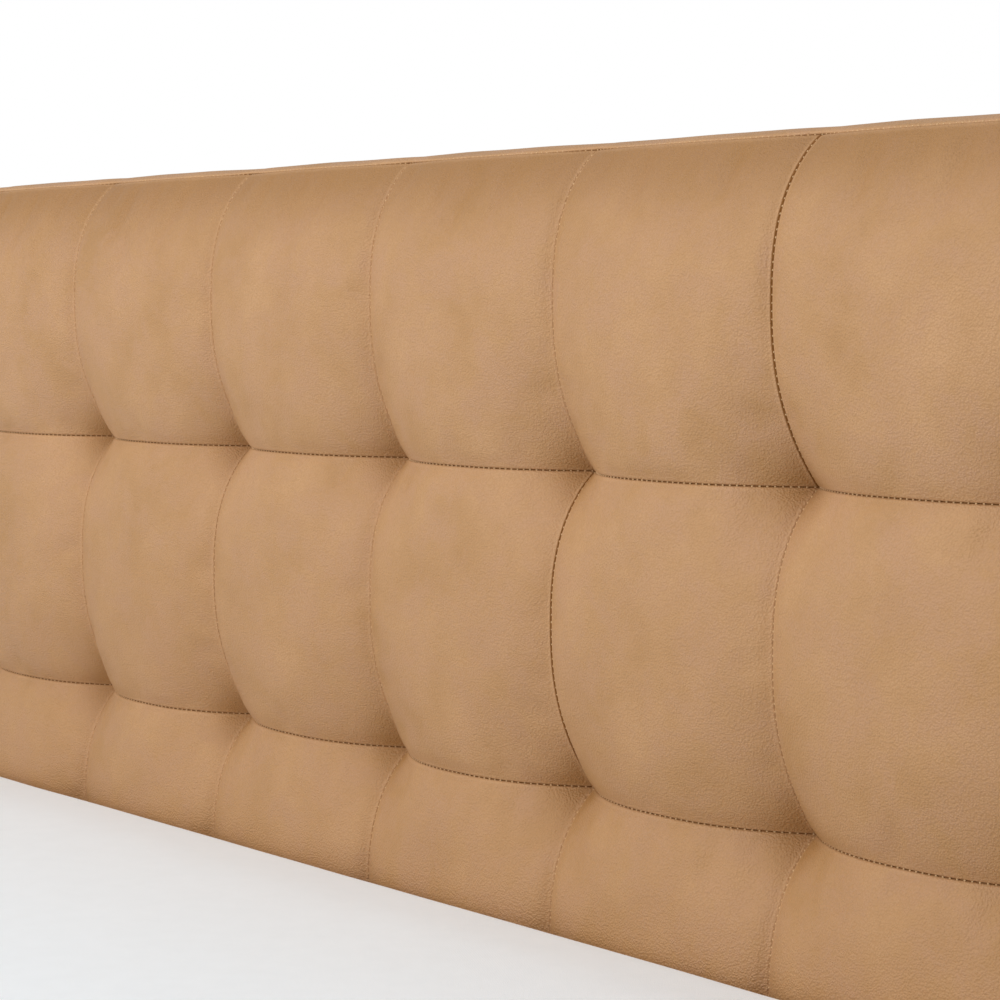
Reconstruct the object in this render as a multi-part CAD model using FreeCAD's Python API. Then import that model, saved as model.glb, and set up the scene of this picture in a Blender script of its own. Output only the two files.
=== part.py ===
import FreeCAD
import Part
import math
import os

# Upholstered double bed with a box-tufted headboard, in millimetres.
# The origin is on the floor under the middle of the bed. +Y points to the
# head end, +X to the right as seen from the foot, +Z up.

# Mattress and the gaps around it
MATTRESS_WIDTH = 1524.0
MATTRESS_LENGTH = 2032.0
MATTRESS_HEIGHT = 296.0
MATTRESS_CORNER_RADIUS = 60.0
MATTRESS_EDGE_RADIUS = 22.0
TICKING_THICKNESS = 4.0
MATTRESS_HEAD_GAP = 2.0
MATTRESS_SIDE_GAP = 13.0
MATTRESS_FOOT_GAP = 11.0
MATTRESS_REST_GAP = 0.3

# Tufted field of the headboard
HEADBOARD_OVERHANG = 8.0
TILE_HEIGHT = 205.0
TILE_COLUMNS = 8
TILE_ROWS = 3
SKIRT_HEIGHT = 365.0
TUFT_FOAM = 60.0
TUFT_DEPTH = 45.0
POCKET_MOUTH = 40.0
POCKET_TIP = 5.0
FIELD_EDGE_ROLL = 42.0
EDGE_PADDING = 4.5
SKIRT_FOAM = 25.0
LEATHER = 1.5

# Timber of the headboard
FRAME_DEPTH = 35.0
POST_WIDTH = 100.0
POST_EDGE_RADIUS = 2.0
TOP_RAIL_HEIGHT = 60.0
MIDDLE_RAIL_HEIGHT = 60.0
LOWER_RAIL_HEIGHT = 100.0
LOWER_RAIL_RISE = 100.0
STILE_WIDTH = 50.0
STILE_TILE = 1.5
POST_SCREW_INSET = 35.0
POST_SCREWS = 7
RAIL_SCREW_TILE = 3
RAIL_SCREWS = 6
PLYWOOD = 12.0
RAIL_PACKER_WIDTH = 120.0
RAIL_PACKER_RISE = 15.0
RAIL_PACKER_HEIGHT = 210.0
BEAM_PACKER_WIDTH = 120.0
BEAM_PACKER_MARGIN = 15.0

# Upholstered rails
LEG_HEIGHT = 150.0
RAIL_HEIGHT = 235.0
RAIL_CORE = 24.0
RAIL_PADDING = 10.0
INNER_FLAP_DEPTH = 43.0

# Slats, ledgers and centre beam
LEDGER_RISE = 170.0
LEDGER_WIDTH = 30.0
LEDGER_HEIGHT = 35.0
SLAT_COUNT = 14
SLAT_WIDTH = 70.0
SLAT_THICKNESS = 18.0
SLAT_EDGE_RADIUS = 3.0
SLAT_END_GAP = 2.0
SLAT_END_INSET = 40.0
WEBBING_WIDTH = 30.0
WEBBING_THICKNESS = 1.0
WEBBING_SPREAD = 350.0
BEAM_WIDTH = 45.0
BEAM_HEIGHT = 70.0

# Corner blocks and tapered foot legs
BLOCK_SIDE = 120.0
BLOCK_THICKNESS = 25.0
LEG_TOP_SIDE = 64.0
LEG_BOTTOM_SIDE = 44.0
LEG_EDGE_RADIUS = 3.0
LEG_INSET = 16.0
LEG_BOLT_DEPTH = 45.0
GLIDE_RADIUS = 14.0
GLIDE_THICKNESS = 4.0
GLIDE_PIN_RADIUS = 1.5
GLIDE_PIN_LENGTH = 14.0

# Centre legs with levelling feet
CENTRE_LEG_OFFSET = 400.0
TUBE_RADIUS = 16.0
TUBE_WALL = 2.0
TUBE_PLATE_SIDE = 60.0
TUBE_BOTTOM = 25.0
INSERT_LENGTH = 20.0
STUD_RADIUS = 5.0
STUD_TOP = 70.0
STUD_NUT_RADIUS = 9.0
STUD_NUT_HEIGHT = 5.0
STUD_SPIGOT_RADIUS = 3.0
STUD_SPIGOT_LENGTH = 5.0
PAD_RADIUS = 22.0
PAD_TOP_RADIUS = 12.0
PAD_RIM = 3.0
PAD_HEIGHT = 8.0
RUNNING_CLEARANCE = 0.05
SHOULDER_GAP = 0.2

# Steel fittings and fasteners
STEEL = 3.0
BRACKET_WING = 60.0
BRACKET_RISE = 30.0
BRACKET_HEIGHT = 80.0
BRACKET_BOLT_INSET = 35.0
BRACKET_BOLT_SPREAD = 40.0
HANGER_WING = 25.0
HANGER_DEPTH = 50.0
HANGER_TOP_GAP = 5.0
HANGER_SCREW_SPREAD = 30.0
BOLT_RADIUS = 4.0
BOLT_CLEARANCE = 0.2
BOLT_HEAD_RADIUS = 7.5
BOLT_HEAD_HEIGHT = 4.5
BOLT_THREAD_GAP = 0.05
NUT_FLANGE_RADIUS = 11.0
NUT_FLANGE_THICKNESS = 1.5
NUT_BARREL_RADIUS = 5.5
NUT_BARREL_LENGTH = 10.5
SCREW_RADIUS = 2.0
SCREW_HEAD_RADIUS = 4.0
SCREW_HEAD_HEIGHT = 2.5
SCREW_GRIP = 20.0
BLOCK_SCREW_GRIP = 12.0
BLOCK_SCREW_DEPTH = 24.0
BLOCK_SCREW_PLACES = (48.0, 96.0)
DOWEL_RADIUS = 5.0
DOWEL_LENGTH = 60.0
TIE_RADIUS = 1.5
TIE_HOLE_CLEARANCE = 1.5
KNOT_RADIUS = 4.0
KNOT_LENGTH = 3.0
WASHER_RADIUS = 12.0
WASHER_THICKNESS = 2.0
WASHER_CLEARANCE = 0.2

# Smallest difference that counts when edges are picked by place or direction
TOLERANCE = 0.001

# Planes across the bed, from the middle outwards
X_FLAP = MATTRESS_WIDTH / 2 + MATTRESS_SIDE_GAP
X_CORE = X_FLAP + LEATHER
X_PADDING = X_CORE + RAIL_CORE
X_RAIL_LEATHER = X_PADDING + RAIL_PADDING
X_RAIL_OUT = X_RAIL_LEATHER + LEATHER
X_FIELD = X_RAIL_OUT + HEADBOARD_OVERHANG
X_BOXING = X_FIELD + EDGE_PADDING
X_OUT = X_BOXING + LEATHER
TILE_WIDTH = 2 * X_FIELD / TILE_COLUMNS

# Planes along the bed, from the back of the headboard to the foot
HEAD_STACK = LEATHER + FRAME_DEPTH + PLYWOOD + TUFT_FOAM + LEATHER
FOOT_STACK = LEATHER + RAIL_CORE + RAIL_PADDING + LEATHER
LENGTH = (
    HEAD_STACK + MATTRESS_HEAD_GAP + MATTRESS_LENGTH + MATTRESS_FOOT_GAP + FOOT_STACK
)
Y_BACK = LENGTH / 2
Y_FRAME_BACK = Y_BACK - LEATHER
Y_FRAME = Y_FRAME_BACK - FRAME_DEPTH
Y_PLYWOOD = Y_FRAME - PLYWOOD
Y_FOAM = Y_PLYWOOD - TUFT_FOAM
Y_CROWN = Y_FOAM - LEATHER
Y_PULL = Y_CROWN + TUFT_DEPTH
Y_SKIRT_FOAM = Y_PLYWOOD - SKIRT_FOAM
Y_SKIRT = Y_SKIRT_FOAM - LEATHER
Y_MATTRESS_HEAD = Y_CROWN - MATTRESS_HEAD_GAP
Y_MATTRESS_FOOT = Y_MATTRESS_HEAD - MATTRESS_LENGTH
Y_FOOT_FLAP = Y_MATTRESS_FOOT - MATTRESS_FOOT_GAP
Y_FOOT_CORE = Y_FOOT_FLAP - LEATHER
Y_FOOT_PADDING = Y_FOOT_CORE - RAIL_CORE
Y_FOOT_LEATHER = Y_FOOT_PADDING - RAIL_PADDING
Y_FOOT_OUT = Y_FOOT_LEATHER - LEATHER

# Levels above the floor
Z_SKIRT = LEG_HEIGHT
Z_INSIDE = Z_SKIRT + LEATHER
FIELD_BOTTOM = Z_SKIRT + SKIRT_HEIGHT
Z_FIELD_TOP = FIELD_BOTTOM + TILE_HEIGHT * TILE_ROWS
Z_BOXING = Z_FIELD_TOP + EDGE_PADDING
Z_OUT = Z_BOXING + LEATHER
Z_RAIL_OUT = LEG_HEIGHT + RAIL_HEIGHT
Z_RAIL_LEATHER = Z_RAIL_OUT - LEATHER
Z_CORE_TOP = Z_RAIL_LEATHER - RAIL_PADDING
LEDGER_TOP = LEG_HEIGHT + LEDGER_RISE
Z_SLAT_TOP = LEDGER_TOP + SLAT_THICKNESS
Z_WEBBING_TOP = Z_SLAT_TOP + WEBBING_THICKNESS
Z_MATTRESS = Z_WEBBING_TOP + MATTRESS_REST_GAP
Z_BEAM = LEDGER_TOP - BEAM_HEIGHT
Z_TUBE_PLATE = Z_BEAM - STEEL
Z_BRACKET = LEG_HEIGHT + BRACKET_RISE
Z_RAIL_PACKER = LEG_HEIGHT + RAIL_PACKER_RISE

SIDES = {"left": -1, "right": 1}
ENDS = {"head": 1, "foot": -1}


def vector(point):
    """A FreeCAD vector from three numbers."""
    return FreeCAD.Vector(*point)


def block(low, high):
    """A rectangular block between two corners, given in any order."""
    lowest = [min(pair) for pair in zip(low, high)]
    size = [abs(b - a) for a, b in zip(low, high)]
    return Part.makeBox(*size, vector(lowest))


def rod(radius, start, end):
    """A round bar between two points."""
    axis = vector(end) - vector(start)
    return Part.makeCylinder(radius, axis.Length, vector(start), axis)


def step_along(point, direction, distance):
    """The point reached by going a distance along a unit direction."""
    return tuple(p + d * distance for p, d in zip(point, direction))


def evenly(first, last, count):
    """Evenly spaced values from the first to the last."""
    return [first + (last - first) * i / (count - 1) for i in range(count)]


def edges_along(shape, axis):
    """The straight edges of a shape that run along one axis."""
    found = []
    for edge in shape.Edges:
        if len(edge.Vertexes) == 2 and edge.Curve.TypeId == "Part::GeomLine":
            run = edge.Vertexes[1].Point - edge.Vertexes[0].Point
            if abs(run.normalize().dot(vector(axis))) > 1 - TOLERANCE:
                found.append(edge)
    return found


def edges_in_plane(shape, axis, level):
    """The edges of a shape that lie in one plane across an axis."""
    across = vector(axis)
    return [
        edge
        for edge in shape.Edges
        if all(abs(v.Point.dot(across) - level) < TOLERANCE for v in edge.Vertexes)
    ]


def drilled(piece, holes):
    """A piece with every hole that reaches it."""
    near = [hole for hole in holes if hole.BoundBox.intersect(piece.BoundBox)]
    return piece.cut(near) if near else piece


def screw(seat, direction, length):
    """Countersunk wood screw whose head is flush with the seat."""
    end = step_along(seat, direction, length)
    head = Part.makeCone(
        SCREW_HEAD_RADIUS,
        SCREW_RADIUS,
        SCREW_HEAD_HEIGHT,
        vector(seat),
        vector(direction),
    )
    return rod(SCREW_RADIUS, seat, end).fuse(head)


def bolt(seat, direction, length):
    """Button-head bolt standing on its seat."""
    top = step_along(seat, direction, -BOLT_HEAD_HEIGHT)
    end = step_along(seat, direction, length)
    return rod(BOLT_RADIUS, seat, end).fuse(rod(BOLT_HEAD_RADIUS, top, seat))


def bolt_hole(seat, direction, length):
    """Clearance hole that a bolt passes through."""
    end = step_along(seat, direction, length)
    return rod(BOLT_RADIUS + BOLT_CLEARANCE, seat, end)


def t_nut_body(face, direction):
    """Outside of a T-nut, sunk flush in a face and reaching inwards."""
    shoulder = step_along(face, direction, NUT_FLANGE_THICKNESS)
    end = step_along(shoulder, direction, NUT_BARREL_LENGTH)
    flange = rod(NUT_FLANGE_RADIUS, face, shoulder)
    return flange.fuse(rod(NUT_BARREL_RADIUS, shoulder, end))


def t_nut(face, direction):
    """T-nut with its threaded bore."""
    end = step_along(face, direction, NUT_FLANGE_THICKNESS + NUT_BARREL_LENGTH)
    return t_nut_body(face, direction).cut(rod(BOLT_RADIUS + BOLT_THREAD_GAP, face, end))


def hexagon_nut(base, radius, height):
    """Six-sided nut standing on a point, with its radius to the corners."""
    corners = []
    for i in range(6 + 1):
        turn = i * math.pi / 3
        corners.append(step_along(base, (math.cos(turn), math.sin(turn), 0), radius))
    outline = Part.makePolygon([vector(corner) for corner in corners])
    return Part.Face(outline).extrude(vector((0, 0, height)))


def pull_points():
    """Where the cover is tied back: every inner crossing of the tile seams."""
    columns = [-X_FIELD + TILE_WIDTH * i for i in range(1, TILE_COLUMNS)]
    rows = [FIELD_BOTTOM + TILE_HEIGHT * i for i in range(1, TILE_ROWS)]
    return [(x, z) for z in rows for x in columns]


def pocket(x, z, wall):
    """Cone-shaped dimple at a pull point, grown outwards by a wall."""
    slope = (POCKET_MOUTH - POCKET_TIP) / TUFT_DEPTH
    mouth = POCKET_MOUTH + wall * math.hypot(1, slope)
    depth = TUFT_DEPTH + wall
    tip = mouth - slope * depth
    return Part.makeCone(mouth, tip, depth, vector((x, Y_CROWN, z)), vector((0, 1, 0)))


def rolled_field(wall):
    """The tufted foam's outer form, grown by a wall at the front and edges."""
    half = X_FIELD + wall
    form = block(
        (-half, Y_FOAM - wall, FIELD_BOTTOM + LEATHER - wall),
        (half, Y_PLYWOOD, Z_FIELD_TOP + wall),
    )
    front = edges_in_plane(form, (0, 1, 0), Y_FOAM - wall)
    rolled = [e for e in front if e.CenterOfMass.z > FIELD_BOTTOM + LEATHER]
    return form.makeFillet(FIELD_EDGE_ROLL + wall, rolled)


def headboard_timber():
    """Posts that run down as the head legs, rails, stiles and plywood."""
    nodes = {}
    x_post = X_FIELD - POST_WIDTH
    for name, side in SIDES.items():
        post = block(
            (side * x_post, Y_FRAME, GLIDE_THICKNESS),
            (side * X_FIELD, Y_FRAME_BACK, Z_FIELD_TOP),
        )
        post = post.makeFillet(POST_EDGE_RADIUS, edges_along(post, (0, 0, 1)))
        nodes["headboard_post_" + name] = [post]
    z_middle = FIELD_BOTTOM + TILE_HEIGHT * TILE_ROWS / 2
    z_lower = LEG_HEIGHT + LOWER_RAIL_RISE
    rails = {
        "top": (Z_FIELD_TOP - TOP_RAIL_HEIGHT, Z_FIELD_TOP),
        "middle": (z_middle - MIDDLE_RAIL_HEIGHT / 2, z_middle + MIDDLE_RAIL_HEIGHT / 2),
        "lower": (z_lower, z_lower + LOWER_RAIL_HEIGHT),
    }
    for name, (low, high) in rails.items():
        rail = block((-x_post, Y_FRAME, low), (x_post, Y_FRAME_BACK, high))
        nodes["headboard_" + name + "_rail"] = [rail]
    gaps = [
        (rails["lower"][1], rails["middle"][0]),
        (rails["middle"][1], rails["top"][0]),
    ]
    x_stile = TILE_WIDTH * STILE_TILE
    y_middle = Y_FRAME + FRAME_DEPTH / 2
    reach = DOWEL_LENGTH / 2
    dowels = []
    for name, side in SIDES.items():
        stiles = []
        for low, high in gaps:
            stiles.append(
                block(
                    (side * x_stile - STILE_WIDTH / 2, Y_FRAME, low),
                    (side * x_stile + STILE_WIDTH / 2, Y_FRAME_BACK, high),
                )
            )
            for z in (low, high):
                start = (side * x_stile, y_middle, z - reach)
                dowels.append(rod(DOWEL_RADIUS, start, step_along(start, (0, 0, 1), DOWEL_LENGTH)))
        nodes["headboard_stile_" + name] = stiles
        for low, high in rails.values():
            quarter = (high - low) / 4
            for z in (low + quarter, high - quarter):
                start = (side * x_post - reach, y_middle, z)
                dowels.append(rod(DOWEL_RADIUS, start, step_along(start, (1, 0, 0), DOWEL_LENGTH)))
    nodes["headboard_frame_dowels"] = dowels
    nodes["headboard_plywood_panel"] = [
        block((-X_FIELD, Y_PLYWOOD, Z_INSIDE), (X_FIELD, Y_FRAME, Z_FIELD_TOP))
    ]
    screws = []
    x_line = X_FIELD - POST_SCREW_INSET
    for side in SIDES.values():
        for z in evenly(Z_INSIDE + SCREW_GRIP, Z_FIELD_TOP - SCREW_GRIP, POST_SCREWS):
            screws.append(screw((side * x_line, Y_PLYWOOD, z), (0, 1, 0), PLYWOOD + SCREW_GRIP))
    for low, high in rails.values():
        for x in evenly(-TILE_WIDTH * RAIL_SCREW_TILE, TILE_WIDTH * RAIL_SCREW_TILE, RAIL_SCREWS):
            seat = (x, Y_PLYWOOD, (low + high) / 2)
            screws.append(screw(seat, (0, 1, 0), PLYWOOD + SCREW_GRIP))
    nodes["headboard_panel_screws"] = screws
    return nodes


def skirt_packers():
    """Hardwood packers that let the rails and beam clamp up solid."""
    packers = []
    for side in SIDES.values():
        packers.append(
            block(
                (side * (X_FIELD - RAIL_PACKER_WIDTH), Y_SKIRT_FOAM, Z_RAIL_PACKER),
                (side * X_FIELD, Y_PLYWOOD, Z_RAIL_PACKER + RAIL_PACKER_HEIGHT),
            )
        )
    packers.append(
        block(
            (-BEAM_PACKER_WIDTH / 2, Y_SKIRT_FOAM, Z_BEAM - BEAM_PACKER_MARGIN),
            (BEAM_PACKER_WIDTH / 2, Y_PLYWOOD, LEDGER_TOP + BEAM_PACKER_MARGIN),
        )
    )
    return packers


def headboard_upholstery():
    """Foam, tufted leather, boxing, skirt and back panel."""
    nodes = {}
    points = pull_points()
    foam = rolled_field(0)
    cover = rolled_field(LEATHER).cut(foam)
    behind_seam = block(
        (-X_OUT, Y_PULL, FIELD_BOTTOM),
        (X_OUT, Y_PLYWOOD, Z_OUT),
    )
    cover = cover.cut(behind_seam)
    cover = cover.fuse([pocket(x, z, LEATHER) for x, z in points])
    nodes["headboard_tufted_cover"] = [cover.cut([pocket(x, z, 0) for x, z in points])]
    nodes["headboard_foam"] = [foam.cut([pocket(x, z, LEATHER) for x, z in points])]

    packers = skirt_packers()
    nodes["headboard_packers"] = packers
    skirt_foam = block((-X_FIELD, Y_SKIRT_FOAM, Z_INSIDE), (X_FIELD, Y_PLYWOOD, FIELD_BOTTOM))
    nodes["headboard_skirt_foam"] = [skirt_foam.cut(packers)]
    skirt = block((-X_BOXING, Y_SKIRT, Z_SKIRT), (X_BOXING, Y_SKIRT_FOAM, FIELD_BOTTOM))
    tuck = block((-X_FIELD, Y_SKIRT_FOAM, Z_SKIRT), (X_FIELD, Y_FRAME, Z_INSIDE))
    nodes["headboard_skirt_cover"] = [skirt.fuse(tuck)]

    padding = block((-X_BOXING, Y_PULL, Z_FIELD_TOP), (X_BOXING, Y_FRAME_BACK, Z_BOXING))
    for name, side in SIDES.items():
        upper_pad = block(
            (side * X_FIELD, Y_PULL, FIELD_BOTTOM), (side * X_BOXING, Y_FRAME_BACK, Z_FIELD_TOP)
        )
        lower_pad = block(
            (side * X_FIELD, Y_SKIRT_FOAM, Z_INSIDE), (side * X_BOXING, Y_FRAME_BACK, FIELD_BOTTOM)
        )
        padding = padding.fuse([upper_pad, lower_pad])
        upper = block((side * X_BOXING, Y_PULL, FIELD_BOTTOM), (side * X_OUT, Y_BACK, Z_BOXING))
        lower = block((side * X_BOXING, Y_SKIRT, Z_SKIRT), (side * X_OUT, Y_BACK, FIELD_BOTTOM))
        nodes["headboard_side_boxing_" + name] = [upper.fuse(lower).removeSplitter()]
    nodes["headboard_edge_padding"] = [padding.removeSplitter()]
    nodes["headboard_top_boxing"] = [block((-X_OUT, Y_PULL, Z_BOXING), (X_OUT, Y_BACK, Z_OUT))]
    nodes["headboard_back_cover"] = [
        block((-X_BOXING, Y_FRAME_BACK, Z_SKIRT), (X_BOXING, Y_BACK, Z_BOXING))
    ]
    return nodes


def tufting():
    """Twine ties from each pull point to a washer behind the plywood."""
    ties = []
    washers = []
    holes = []
    y_cover = Y_PULL + LEATHER
    y_knot = Y_FRAME + WASHER_THICKNESS
    for x, z in pull_points():
        tie = rod(TIE_RADIUS, (x, y_cover, z), (x, y_knot, z))
        knot = rod(KNOT_RADIUS, (x, y_knot, z), (x, y_knot + KNOT_LENGTH, z))
        ties.append(tie.fuse(knot))
        washer = rod(WASHER_RADIUS, (x, Y_FRAME, z), (x, y_knot, z))
        eye = rod(TIE_RADIUS + WASHER_CLEARANCE, (x, Y_FRAME, z), (x, y_knot, z))
        washers.append(washer.cut(eye))
        holes.append(rod(TIE_RADIUS + TIE_HOLE_CLEARANCE, (x, y_cover, z), (x, Y_FRAME, z)))
    return {"headboard_tuft_ties": ties, "headboard_tuft_washers": washers}, holes


def side_rails():
    """Core, padding, leather and slat ledger of both side rails."""
    nodes = {}
    for name, side in SIDES.items():

        def rail_block(x_in, x_out, low, high):
            return block((side * x_in, Y_FOOT_CORE, low), (side * x_out, Y_SKIRT, high))

        core = rail_block(X_CORE, X_PADDING, Z_INSIDE, Z_CORE_TOP)
        padded = rail_block(X_CORE, X_RAIL_LEATHER, Z_INSIDE, Z_RAIL_LEATHER)
        wrap = rail_block(X_FLAP, X_RAIL_OUT, Z_SKIRT, Z_RAIL_OUT)
        below_flap = rail_block(X_FLAP, X_CORE, Z_SKIRT, Z_RAIL_OUT - INNER_FLAP_DEPTH)
        ledger = rail_block(X_CORE - LEDGER_WIDTH, X_CORE, LEDGER_TOP - LEDGER_HEIGHT, LEDGER_TOP)
        nodes["side_rail_core_" + name] = [core]
        nodes["side_rail_padding_" + name] = [padded.cut(core)]
        nodes["side_rail_cover_" + name] = [wrap.cut([padded, below_flap])]
        nodes["side_rail_ledger_" + name] = [ledger]
    return nodes


def foot_rail():
    """Core, padding and leather of the rail across the foot."""
    core = block((-X_PADDING, Y_FOOT_PADDING, Z_INSIDE), (X_PADDING, Y_FOOT_CORE, Z_CORE_TOP))
    padded = block(
        (-X_RAIL_LEATHER, Y_FOOT_LEATHER, Z_INSIDE), (X_RAIL_LEATHER, Y_FOOT_CORE, Z_RAIL_LEATHER)
    )
    wrap = block((-X_RAIL_OUT, Y_FOOT_OUT, Z_SKIRT), (X_RAIL_OUT, Y_FOOT_CORE, Z_RAIL_OUT))
    flap = block(
        (-X_FLAP, Y_FOOT_CORE, Z_RAIL_OUT - INNER_FLAP_DEPTH), (X_FLAP, Y_FOOT_FLAP, Z_RAIL_OUT)
    )
    return {
        "foot_rail_core": [core],
        "foot_rail_padding": [padded.cut(core)],
        "foot_rail_cover": [wrap.cut(padded).fuse(flap).removeSplitter()],
    }


def corner_fittings():
    """Steel angle brackets with their bolts and T-nuts at the four corners."""
    middle = Z_BRACKET + BRACKET_HEIGHT / 2
    levels = [middle - BRACKET_BOLT_SPREAD / 2, middle + BRACKET_BOLT_SPREAD / 2]
    nodes = {"head_brackets": [], "foot_brackets": [], "rail_bolts": [], "rail_t_nuts": []}
    holes = []
    corners = [
        ("head_brackets", Y_SKIRT, 1, Y_FRAME_BACK),
        ("foot_brackets", Y_FOOT_CORE, -1, Y_FOOT_PADDING),
    ]
    for node, y_face, outwards, y_nut in corners:
        for side in SIDES.values():
            y_edge = y_face - outwards * BRACKET_WING
            across = block(
                (side * (X_CORE - BRACKET_WING), y_face - outwards * STEEL, Z_BRACKET),
                (side * X_CORE, y_face, Z_BRACKET + BRACKET_HEIGHT),
            )
            along = block(
                (side * (X_CORE - STEEL), y_edge, Z_BRACKET),
                (side * X_CORE, y_face, Z_BRACKET + BRACKET_HEIGHT),
            )
            x_bolt = side * (X_CORE - BRACKET_BOLT_INSET)
            y_bolt = y_face - outwards * BRACKET_BOLT_INSET
            for z in levels:
                end_way = (0, outwards, 0)
                end_seat = (x_bolt, y_face - outwards * STEEL, z)
                end_reach = abs(y_nut - y_face) + STEEL
                side_way = (side, 0, 0)
                side_seat = (side * (X_CORE - STEEL), y_bolt, z)
                side_reach = RAIL_CORE + STEEL
                for seat, way, reach, face in (
                    (end_seat, end_way, end_reach, (x_bolt, y_nut, z)),
                    (side_seat, side_way, side_reach, (side * X_PADDING, y_bolt, z)),
                ):
                    inwards = tuple(-d for d in way)
                    nodes["rail_bolts"].append(bolt(seat, way, reach))
                    nodes["rail_t_nuts"].append(t_nut(face, inwards))
                    holes.append(bolt_hole(seat, way, reach))
                    holes.append(t_nut_body(face, inwards))
            nodes[node].append(across.fuse(along).removeSplitter())
    return nodes, holes


def slat_positions():
    """The middle of each slat along the bed."""
    first = Y_MATTRESS_FOOT + SLAT_END_INSET
    last = Y_MATTRESS_HEAD - SLAT_END_INSET
    return evenly(first, last, SLAT_COUNT)


def slat_base():
    """Slats with their webbing, screws and the screws of the ledgers."""
    half = X_FLAP - SLAT_END_GAP
    rows = slat_positions()
    slats = [
        block((-half, y - SLAT_WIDTH / 2, LEDGER_TOP), (half, y + SLAT_WIDTH / 2, Z_SLAT_TOP))
        for y in rows
    ]
    slats = [slat.makeFillet(SLAT_EDGE_RADIUS, edges_along(slat, (1, 0, 0))) for slat in slats]
    webbing = [
        block(
            (side * WEBBING_SPREAD - WEBBING_WIDTH / 2, rows[0], Z_SLAT_TOP),
            (side * WEBBING_SPREAD + WEBBING_WIDTH / 2, rows[-1], Z_WEBBING_TOP),
        )
        for side in SIDES.values()
    ]
    x_ledger = X_CORE - LEDGER_WIDTH / 2
    slat_screws = [
        screw((side * x_ledger, y, Z_SLAT_TOP), (0, 0, -1), SLAT_THICKNESS + SCREW_GRIP)
        for side in SIDES.values()
        for y in rows
    ]
    ledger_screws = []
    for side in SIDES.values():
        for near, far in zip(rows[:-1:2], rows[1::2]):
            seat = (
                side * (X_CORE - LEDGER_WIDTH),
                (near + far) / 2,
                LEDGER_TOP - LEDGER_HEIGHT / 2,
            )
            ledger_screws.append(screw(seat, (side, 0, 0), LEDGER_WIDTH + SCREW_GRIP))
    nodes = {"slats": slats, "slat_webbing": webbing, "slat_screws": slat_screws}
    return nodes, ledger_screws


def centre_beam():
    """Beam under the slats, hung from the headboard and the foot rail."""
    half = BEAM_WIDTH / 2
    beam = block((-half, Y_FOOT_CORE + STEEL, Z_BEAM), (half, Y_SKIRT - STEEL, LEDGER_TOP))
    hangers = []
    screws = []
    z_top = LEDGER_TOP - HANGER_TOP_GAP
    head_grip = SKIRT_FOAM + PLYWOOD + SCREW_GRIP
    for y_face, outwards, grip in ((Y_SKIRT, 1, head_grip), (Y_FOOT_CORE, -1, SCREW_GRIP)):
        y_plate = y_face - outwards * STEEL
        y_lip = y_plate - outwards * HANGER_DEPTH
        wing = half + STEEL + HANGER_WING
        plate = block((-wing, y_plate, Z_BEAM - STEEL), (wing, y_face, z_top))
        shoe = block((-half - STEEL, y_lip, Z_BEAM - STEEL), (half + STEEL, y_plate, z_top))
        room = block((-half, y_lip, Z_BEAM), (half, y_plate, LEDGER_TOP))
        hangers.append(plate.fuse(shoe.cut(room)).removeSplitter())
        middle = (Z_BEAM + z_top) / 2
        for side in SIDES.values():
            for z in (middle - HANGER_SCREW_SPREAD / 2, middle + HANGER_SCREW_SPREAD / 2):
                seat = (side * (half + STEEL + HANGER_WING / 2), y_plate, z)
                screws.append(screw(seat, (0, outwards, 0), STEEL + grip))
    return {"centre_beam": [beam], "beam_hangers": hangers}, screws


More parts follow.
